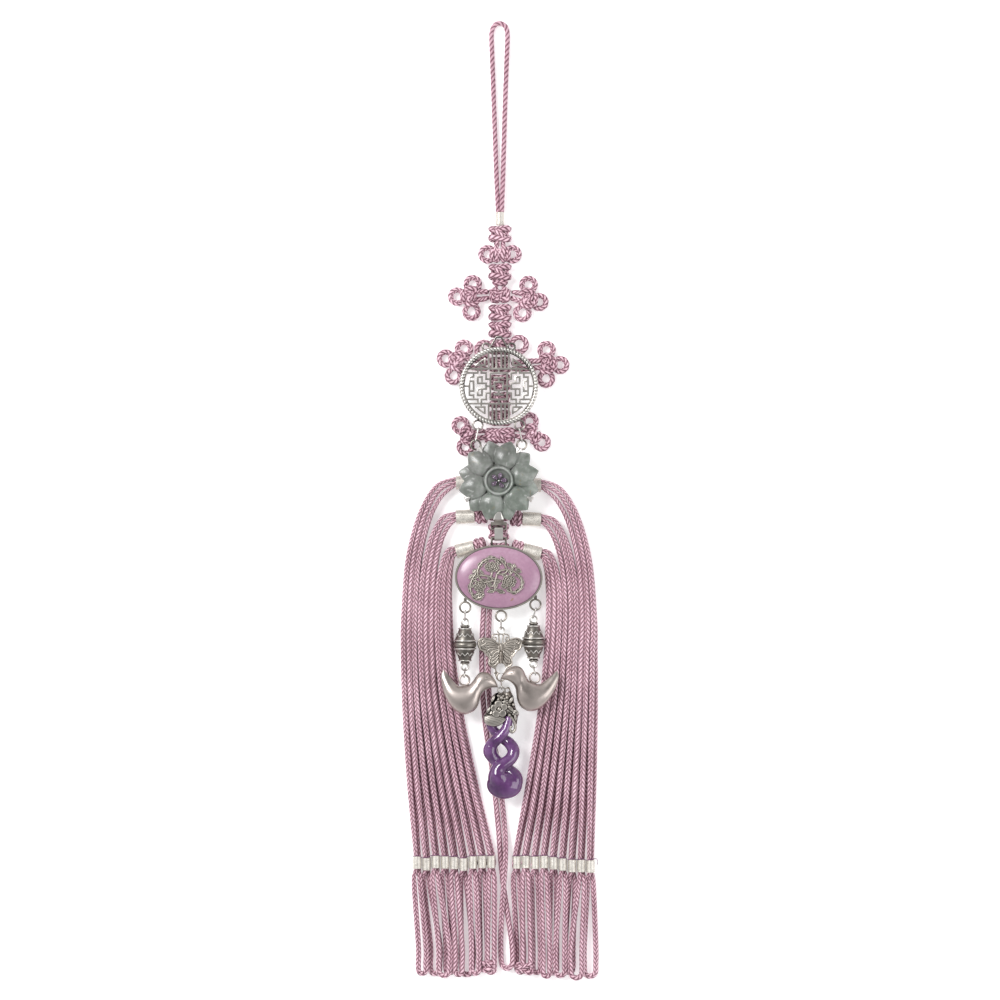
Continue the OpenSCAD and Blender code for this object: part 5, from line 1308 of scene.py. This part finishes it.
def bird(bird_data):
    """One bird: its plump body, the ring at its back and an eye chased on each side of its head."""
    side, ring_x, ring_y = bird_data[:3]
    facing = bird_data[4]
    rows = smooth_path(BIRD_ROWS, parts=8)
    sides = 40
    rings = np.zeros((len(rows), sides, 3))
    for i, (bx, by, kx, ky, half) in enumerate(rows):
        for k in range(sides):
            a = 2 * math.pi * k / sides * facing
            c, s = math.cos(a), math.sin(a)
            share = 0.5 - 0.5 * c
            x, y = bx + (kx - bx) * share, by + (ky - by) * share
            round_side = math.copysign(abs(s) ** 0.92, s)
            rings[i, k] = bird_place(x, y, round_side * max(half, 0.006) * BIRD_T / 0.33, bird_data)
    skein = Skein()
    skein.add_rings(rings, np.arange(len(rows)) / 8)
    wire_ring(skein, ring_x, ring_y, BIRD_Z, 2.0, 32)
    skin = rings.reshape(-1, 3)
    for up in (1, -1):
        half = skin[(skin[:, 2] - BIRD_Z) * up > 0]
        for reach, wire, count in ((0.05, 0.11, 24), (0.03, 0.1, 16)):
            eye = []
            for k in range(count):
                a = 2 * math.pi * k / count
                u, v = reach * math.cos(a), reach * 0.42 * math.sin(a) * abs(math.sin(a)) ** 0.5
                slope = math.radians(-36)
                spot_at = bird_place(0.405 + u * math.cos(slope) - v * math.sin(slope),
                    0.34 + u * math.sin(slope) + v * math.cos(slope), 0, bird_data)
                near = np.argmin((half[:, 0] - spot_at[0]) ** 2 + (half[:, 1] - spot_at[1]) ** 2)
                eye.append((spot_at[0], spot_at[1], half[near, 2] + up * 0.02))
            skein.twisted(eye, wire, 1, step=0.12, sides=8, depth=0, closed=True)
    skein.piece(f"silver_bird_{side}", satin_silver, [f"bird_{side}"])


satin_silver = silver_material("satin_silver", (0.115, 0.098, 0.087), (0.52, 0.46, 0.43), 0.36, relief=0.2,
    dark_share=0.42, grain=120.0)
for bird_data in BIRDS:
    bird(bird_data)

# Butterfly: cast flat silver with a raised rim, chased veins and scrolled feelers, blackened in its lines,
# which also carry painted shade.
# A round opening and a small ring for the cap's link make its tail.
BUTTERFLY_X, BUTTERFLY_Y, BUTTERFLY_Z = 0.445, -14.782, 2.95
BUTTERFLY_UNIT = 0.0337
WING = [(748, 500), (728, 492), (700, 474), (655, 452), (605, 436), (555, 430), (512, 440), (484, 466),
    (476, 505), (486, 545), (508, 578), (545, 596), (560, 618), (578, 634), (590, 655), (610, 668),
    (612, 696), (604, 730), (614, 760), (645, 784), (676, 798), (690, 822), (700, 850), (712, 862),
    (748, 862)]
VEINS = [
    [(738, 528), (680, 486), (625, 462), (580, 458)], [(738, 534), (675, 506), (620, 494), (585, 500)],
    [(738, 542), (680, 524), (630, 520), (590, 532)], [(738, 550), (690, 545), (640, 550), (600, 572)],
    [(738, 560), (700, 566), (655, 585), (625, 612)], [(738, 572), (705, 592), (668, 622), (655, 645)],
    [(738, 612), (708, 640), (675, 665), (645, 680)], [(738, 632), (712, 668), (680, 700), (650, 716)],
    [(740, 655), (718, 700), (695, 735), (668, 755)], [(744, 690), (732, 730), (715, 762), (700, 778)],
    [(700, 480), (640, 456), (580, 447), (540, 458), (526, 485), (546, 506), (566, 494), (556, 478)],
    [(546, 508), (520, 526), (530, 560), (564, 568), (576, 550), (560, 540)],
    [(566, 572), (586, 582), (590, 606), (614, 600), (630, 614), (630, 640), (656, 642)],
    [(630, 650), (620, 676), (640, 700), (630, 728), (652, 748), (684, 738)],
]
FEELERS = [[(742, 500), (737, 450), (732, 404)], [(735, 402), (700, 392), (666, 402), (654, 430), (666, 458),
    (690, 464), (704, 446), (694, 428), (680, 432)],]


def outline_field(x, y, points):
    """Distance to a closed outline, below 0 inside it."""
    best = stroke_distance(x, y, list(points) + [points[0]])
    inside = np.zeros(x.shape, bool)
    for (ax, ay), (bx, by) in zip(points, list(points[1:]) + [points[0]]):
        if ay != by:
            crosses = ((ay > y) != (by > y)) & (x < (bx - ax) * (y - ay) / (by - ay) + ax)
            inside ^= crosses
    return np.where(inside, -best, best)


def rounded(points):
    """A given outline in the drawing's units, smoothed."""
    line = smooth_path([(x, y, 0) for x, y in points], parts=4)
    return [(p[0], p[1]) for p in line]


WING_LINE = rounded(WING)
VEIN_LINES = [rounded(line) for line in VEINS]
FEELER_LINES = [rounded(line) for line in FEELERS]


def butterfly_units(x, y):
    """Drawing units with the left half on both sides; the right wing is a little shorter."""
    across = (x - BUTTERFLY_X) / BUTTERFLY_UNIT
    wide = np.where(across > 0, 1.12, 1.0)
    return 760 - np.abs(across) * wide, 350 - (y - BUTTERFLY_Y) / BUTTERFLY_UNIT


def butterfly_field(x, y):
    """How far a place is outside the butterfly, below 0 on it."""
    cx, cy = butterfly_units(x, y)
    field = outline_field(cx, cy, WING_LINE)
    field = np.where((cx > 744) & (cy > 500) & (cy < 860), np.minimum(field, 744 - cx - 4), field)
    field = np.minimum(field, np.hypot((cx - 760), (cy - 892)) - 64)
    field = np.minimum(field, np.hypot(cx - 686, cy - 852) - 13)
    field = np.minimum(field, stroke_distance(cx, cy, [(702, 828), (702, 880)]) - 14)
    field = np.maximum(field, 58 - np.hypot(cx - 760, cy - 796))
    field = np.maximum(field, 40 - np.hypot(cx - 760, cy - 896))
    for line in FEELER_LINES:
        field = np.minimum(field, stroke_distance(cx, cy, line) - 9.5)
    field = np.minimum(field, np.hypot(cx - 722, cy - 500) - 9)
    return field * BUTTERFLY_UNIT


def butterfly_top(x, y):
    """Height of its cast face: raised rims, sunk veins, ribbed body, and round feelers and tail."""
    cx, cy = butterfly_units(x, y)
    edge = outline_field(cx, cy, WING_LINE)
    rise = np.full(x.shape, 0.62)
    rise += 0.24 * np.exp(-((edge + 12) / 10) ** 2)
    rise += 0.1 * np.clip((-edge - 20) / 60, 0, 1)
    for line in VEIN_LINES:
        rise -= 0.2 * np.exp(-(stroke_distance(cx, cy, line) / 3.6) ** 2)
    body = np.hypot((cx - 760) / 27, (cy - 672) / 78)
    ribs = 0.14 * np.sin((cy - 600) / 140 * 9 * 2 * math.pi)
    swell = 0.75 + 0.8 * np.sqrt(np.clip(1 - body ** 2, 0, 1)) + ribs * (body < 0.85)
    rise = np.where(body < 1, np.maximum(rise, swell), rise)
    rise -= 0.22 * np.exp(-((body - 1.12) / 0.1) ** 2)
    chest = np.hypot((cx - 760) / 22, (cy - 545) / 50)
    swell = 0.7 + 0.75 * np.sqrt(np.clip(1 - chest ** 2, 0, 1)) - 0.2 * np.exp(-((cx - 752) / 3) ** 2)
    rise = np.where(chest < 1, np.maximum(rise, swell), rise)
    for line in FEELER_LINES:
        far = stroke_distance(cx, cy, line)
        rise = np.where(far < 10, 0.45 + 0.5 * np.sqrt(np.clip(1 - (far / 10.5) ** 2, 0, 1)), rise)
    tail = np.abs(np.hypot(cx - 760, cy - 894) - 52)
    rise = np.where((cy > 835) & (tail < 13), 0.5 + 0.45 * np.sqrt(np.clip(1 - (tail / 13) ** 2, 0, 1)),
        rise)
    return BUTTERFLY_Z + rise


relief_piece("silver_butterfly", (-9.6, -36), (9.3, -15.6), 0.1, butterfly_field, butterfly_top,
    lambda x, y: np.full(x.shape, BUTTERFLY_Z), cast_silver, ["butterfly"])
skein = Skein()
wire_ring(skein, BUTTERFLY_X, BUTTERFLY_Y, BUTTERFLY_Z + 0.45)
skein.piece("butterfly_ring", bright_silver, [])

# Flower cap: cast silver that grips the top of the amethyst, with a flower, leaves and a scroll.
# Its openings hold a flat black that is painted shade, its low parts carry painted shade as well, and the
# broad leaf at the lower left is chased with fine lines.
CAP_UNIT = 0.02972
CAP_Z = 7.45
CAP_LINE = [(245, 82), (214, 118), (196, 160), (188, 205), (172, 258), (146, 292), (126, 340), (98, 382),
    (91, 432), (112, 480), (158, 514), (228, 531), (300, 516), (360, 478), (412, 432), (446, 418),
    (486, 450), (520, 500), (538, 496), (549, 440), (552, 402), (568, 366), (562, 326), (530, 288),
    (515, 232), (502, 180), (498, 128), (478, 88), (458, 50), (446, 6), (420, -6), (384, 14), (352, 58),
    (318, 74), (288, 66)]
CAP_SCROLL = [(438, 368), (470, 405), (498, 452), (516, 505), (516, 560), (484, 596), (452, 580), (446, 540),
    (466, 520)]
CAP_PETALS = [(292, 216, 50), (371, 254, 46), (350, 340, 50), (262, 348, 51), (230, 268, 44)]
CAP_LEAVES = [(462, 165, 50, 24, -58, 0.9), (458, 278, 52, 24, 48, 0.9), (222, 150, 50, 20, -62, 0.7),
    (158, 296, 46, 22, -66, 0.7), (528, 330, 42, 34, 20, 0.8), (520, 400, 46, 18, 80, 0.5),
    (400, 210, 30, 14, -40, 0.5), (300, 110, 30, 14, 10, 0.5)]
CAP_BEADS = [(336, 136, 27, 0.9), (376, 148, 18, 0.7), (408, 132, 24, 0.9), (440, 366, 24, 1.1),
    (494, 228, 22, 0.8), (490, 355, 15, 0.6), (360, 110, 16, 0.6)]
CAP_OPENINGS = [(262, 128, 62, 26, -64), (222, 205, 34, 20, -50), (352, 168, 15, 12, 0)]
cap_line = rounded(CAP_LINE)
scroll_line = rounded(CAP_SCROLL)


def cap_units(x, y):
    """From the norigae's millimetres to the cap's drawing units."""
    return (x + 9.36) / CAP_UNIT, (-37.14 - y) / CAP_UNIT


def spot(cx, cy, x, y, half_l, half_w, angle):
    """Share of the way out of an oval: 0 in its middle, 1 on its edge, and the share across it."""
    a = math.radians(angle)
    u = ((cx - x) * math.cos(a) + (cy - y) * math.sin(a)) / half_l
    v = (-(cx - x) * math.sin(a) + (cy - y) * math.cos(a)) / half_w
    return np.hypot(u, v), v


def cap_field(x, y):
    """How far a place is outside the cap, below 0 on it."""
    cx, cy = cap_units(x, y)
    field = outline_field(cx, cy, cap_line)
    field = np.minimum(field, stroke_distance(cx, cy, scroll_line) - 19)
    field = np.maximum(field, 27 - spot(cx, cy, 404, 42, 1.25, 0.85, -15)[0])
    return field * CAP_UNIT


def cap_top(x, y):
    """Height of its cast face: chased wing, hollows, leaves, the flower's petals, beads and scroll."""
    cx, cy = cap_units(x, y)
    deep = np.clip(-outline_field(cx, cy, cap_line) * CAP_UNIT, 0, 9)
    rise = 2.5 * (1 - np.exp(-deep / 1.5))
    rise += 0.12 * np.sin(cx / 17 + 1.3 * np.sin(cy / 23)) * np.sin(cy / 19)
    share = spot(cx, cy, 250, 446, 172, 82, 8)[0]
    grooves = np.exp(-(np.sin((cy * 0.93 - cx * 0.38 + 6 * np.sin(cx / 37)) / 10.5) / 0.3) ** 2)
    grooves = 0.1 * grooves * np.clip(1.5 + np.sin(cx / 21 + cy / 33), 0.2, 1)
    wing = 2.3 + 1.15 * np.sqrt(np.clip(1 - share ** 2, 0, 1)) - grooves
    rise = np.where(share < 1, np.maximum(rise, wing * np.clip(deep / 0.5, 0.3, 1)), rise)
    for opening in CAP_OPENINGS:
        rise -= 2.4 * np.clip((1.08 - spot(cx, cy, *opening)[0]) / 0.25, 0, 1)
    for *leaf_spot, lift in CAP_LEAVES:
        share, v = spot(cx, cy, *leaf_spot)
        rib = 0.14 * np.exp(-(v / 0.16) ** 2)
        leaf = 2.1 + lift * (0.35 + 0.65 * np.sqrt(np.clip(1 - share ** 2, 0, 1))) - rib
        rise = np.where(share < 1, np.maximum(rise, leaf), rise)
    for x0, y0, r in CAP_PETALS:
        share = np.hypot(cx - x0, cy - y0) / r
        a = np.arctan2(cy - y0, cx - x0)
        out = math.atan2(y0 - 284, x0 - 304)
        share *= 1 + 0.07 * np.cos(a - out) ** 8
        lines = 0.07 * np.exp(-(np.sin(3.5 * (a - out)) / 0.22) ** 2) * np.clip(share * 1.2 - 0.2, 0, 1)
        petal = 3.0 + 0.36 * np.sqrt(np.clip(1 - share ** 6, 0, 1)) - lines - 0.1 * np.exp(-(share
            / 0.6) ** 2)
        rise = np.where(share < 1, np.maximum(rise, petal), rise)
    share = np.hypot(cx - 304, cy - 284) / 27
    rise = np.where(share < 1, 3.3 + 0.6 * np.sqrt(np.clip(1 - share ** 2, 0, 1)), rise)
    for x0, y0, r, lift in CAP_BEADS:
        share = np.hypot(cx - x0, cy - y0) / r
        rise = np.where(share < 1, np.maximum(rise, 2.2 + lift * np.sqrt(np.clip(1 - share ** 2, 0, 1))),
            rise)
    far = stroke_distance(cx, cy, scroll_line) / 20
    rise = np.where(far < 1, np.maximum(rise, 1.7 + 0.95 * np.sqrt(np.clip(1 - far ** 2, 0, 1))), rise)
    return CAP_Z + 0.3 + rise


def cap_base(x, y):
    """The cap's hollow back, which follows its swelling."""
    cx, cy = cap_units(x, y)
    deep = np.clip(-outline_field(cx, cy, cap_line) * CAP_UNIT, 0, 9)
    return CAP_Z - 0.2 - 2.2 * (1 - np.exp(-deep / 1.5))


cap_silver = silver_material("cap_silver", (0.05, 0.045, 0.04), (0.48, 0.45, 0.41), 0.42, dark_share=0.3,
    worn="wear_and_painted_shade")
cap = relief_piece("silver_cap", (-7.2, -55.8), (8.2, -36.7), 0.09, cap_field, cap_top, cap_base, cap_silver,
    ["cap"])
# Painted shade: the floors of the openings get a flat black that stands for the shade inside them.
painted_shade_black = new_material("painted_shade_black", Roughness=0.7, Metallic=0.3,
    Base_Color=(0.012, 0.011, 0.011, 1))[0]
cap.data.materials.append(painted_shade_black)
for face in cap.data.polygons:
    cx, cy = cap_units(face.center.x / MM, face.center.y / MM)
    if face.normal.z > 0 and face.center.z / MM < CAP_Z + 2.2 \
            and any(spot(cx, cy, *opening)[0] < 0.98 for opening in CAP_OPENINGS) \
            and not any(spot(cx, cy, *leaf[:5])[0] < 1 for leaf in CAP_LEAVES):
        face.material_index = 1
skein = Skein()
wire_ring(skein, 0.645, -38.48, 6.25)
skein.piece("cap_ring", bright_silver, [])

# Amethyst: two thick strands that cross twice and flow together in a rounded drop, carved from one stone.
# Where they cross a soft crease stays, and the polish is as bright as water.
STRAND_FRONT = [(3.7, -48.6, 8.6, 1.6), (3.3, -50.6, 8.7, 1.8), (2.3, -53.7, 8.9, 2.0),
    (-0.2, -56.9, 8.9, 2.15), (-3.0, -59.7, 7.9, 2.5), (-3.9, -62.6, 7.45, 2.85), (-2.4, -65.5, 6.9, 2.5),
    (0.6, -68, 6.2, 2.4), (3.4, -70.4, 6.4, 2.8), (5.5, -72.8, 6.9, 3.3), (5.7, -75.2, 7.1, 3.3),
    (4.6, -77, 7.3, 2.4)]
STRAND_BACK = [(-4.2, -50.2, 6.6, 1.6), (-3.6, -52.4, 6.4, 1.8), (-2.1, -54.8, 6.1, 1.95),
    (0.6, -57.2, 6.0, 2.1), (3.7, -59.4, 6.9, 2.35), (5.4, -62.4, 7.45, 2.5), (4.3, -65.4, 8.1, 2.5),
    (1.7, -67.4, 8.7, 2.55), (-0.4, -69.6, 8.4, 3.2), (-0.5, -72.4, 7.9, 4.4), (0.4, -75, 7.6, 4.6),
    (1.4, -76.6, 7.5, 3.2)]
DROP = (1.8, -75.85, 7.4, 7.1, 5.8, 3.9)


def plain_strand(skein, rows):
    """A smooth strand whose thickness changes along it: round where slender, a little flat where thick."""
    fine = smooth_path(rows, parts=14)
    up, across = carried_frames(fine[:, :3])[1:]
    sides = 28
    rings = np.zeros((len(fine), sides, 3))
    for k in range(sides):
        a = 2 * math.pi * k / sides
        rings[:, k] = fine[:, 3:4] * (math.cos(a) * up - math.sin(a) * across)
    rings[:, :, 2] *= np.minimum(1, DROP[5] / np.maximum(fine[:, 3:4], 0.1))
    rings += fine[:, None, :3]
    skein.add_rings(rings, np.arange(len(fine)) / 8)


amethyst = amethyst_material("amethyst", (0.05, 0.012, 0.07), (0.11, 0.034, 0.14), (0.215, 0.1, 0.265), 0.3)
skein = Skein()
plain_strand(skein, STRAND_FRONT)
plain_strand(skein, STRAND_BACK)
x, y, z, wide, long, thick = DROP
rounds = []
for i in range(1, 24):
    t = math.pi * i / 24
    rounds.append([(x - wide * math.sin(t) * math.cos(2 * math.pi * k / 40), y + long * math.cos(t),
        z + thick * math.sin(t) * math.sin(2 * math.pi * k / 40)) for k in range(40)])
skein.add_rings(np.array(rounds), np.arange(23) / 8)
drop = skein.piece("amethyst_drop", amethyst, ["amethyst"])
bpy.ops.object.select_all(action="DESELECT")
bpy.context.view_layer.objects.active = drop
drop.select_set(True)
remesh = drop.modifiers.new("one_stone", "REMESH")
remesh.mode = "VOXEL"
remesh.voxel_size = 0.22 * MM
remesh.use_smooth_shade = True
bpy.ops.object.modifier_apply(modifier="one_stone")
smoother = drop.modifiers.new("polished", "SMOOTH")
smoother.factor = 0.5
smoother.iterations = 7
bpy.ops.object.modifier_apply(modifier="polished")
bpy.ops.object.select_all(action="DESELECT")

# The surface it lies on, and a soft studio: a broad key from the upper left, a weak fill from the right.
# The room is darker overhead than at its sides, so flat silver stays grey beside the white floor.
bpy.ops.mesh.primitive_plane_add(size=6, location=(0, 0, -0.0002))
floor = bpy.context.object
floor.name = "floor"
floor_paint = new_material("pale_floor", Roughness=0.9, Emission_Strength=0.4,
    Base_Color=(0.94, 0.94, 0.94, 1))[0]
floor.data.materials.append(floor_paint)


def soft_light(name, place, size, power):
    """A square lamp that faces the middle of the norigae."""
    bpy.ops.object.light_add(type="AREA", location=place)
    lamp = bpy.context.object
    lamp.name = name
    lamp.data.size = size
    lamp.data.energy = power
    toward = [a - b for a, b in zip((0, 0.03, 0), place)]
    lamp.rotation_euler = (math.atan2(math.hypot(toward[0], toward[1]), -toward[2]), 0,
        math.atan2(toward[1], toward[0]) - math.pi / 2)


soft_light("key", (-0.75, 0.5, 1.1), 0.55, 14)
soft_light("fill", (0.9, -0.2, 0.9), 0.8, 5)
world = bpy.data.worlds.new("studio")
bpy.context.scene.world = world
world.use_nodes = True
sky = world.node_tree
toward_sky = sky.nodes.new("ShaderNodeTexCoord")
height = sky.nodes.new("ShaderNodeSeparateXYZ")
sky.links.new(toward_sky.outputs["Generated"], height.inputs[0])
shade = colour_ramp(sky, height.outputs[2], [(0.0, (0.85, 0.85, 0.85)), (0.55, (0.62, 0.62, 0.62)),
    (0.97, (0.3, 0.3, 0.3))])
sky.links.new(shade, sky.nodes["Background"].inputs[0])
sky.nodes["Background"].inputs[1].default_value = 1.0
bpy.context.scene.view_settings.view_transform = "Standard"
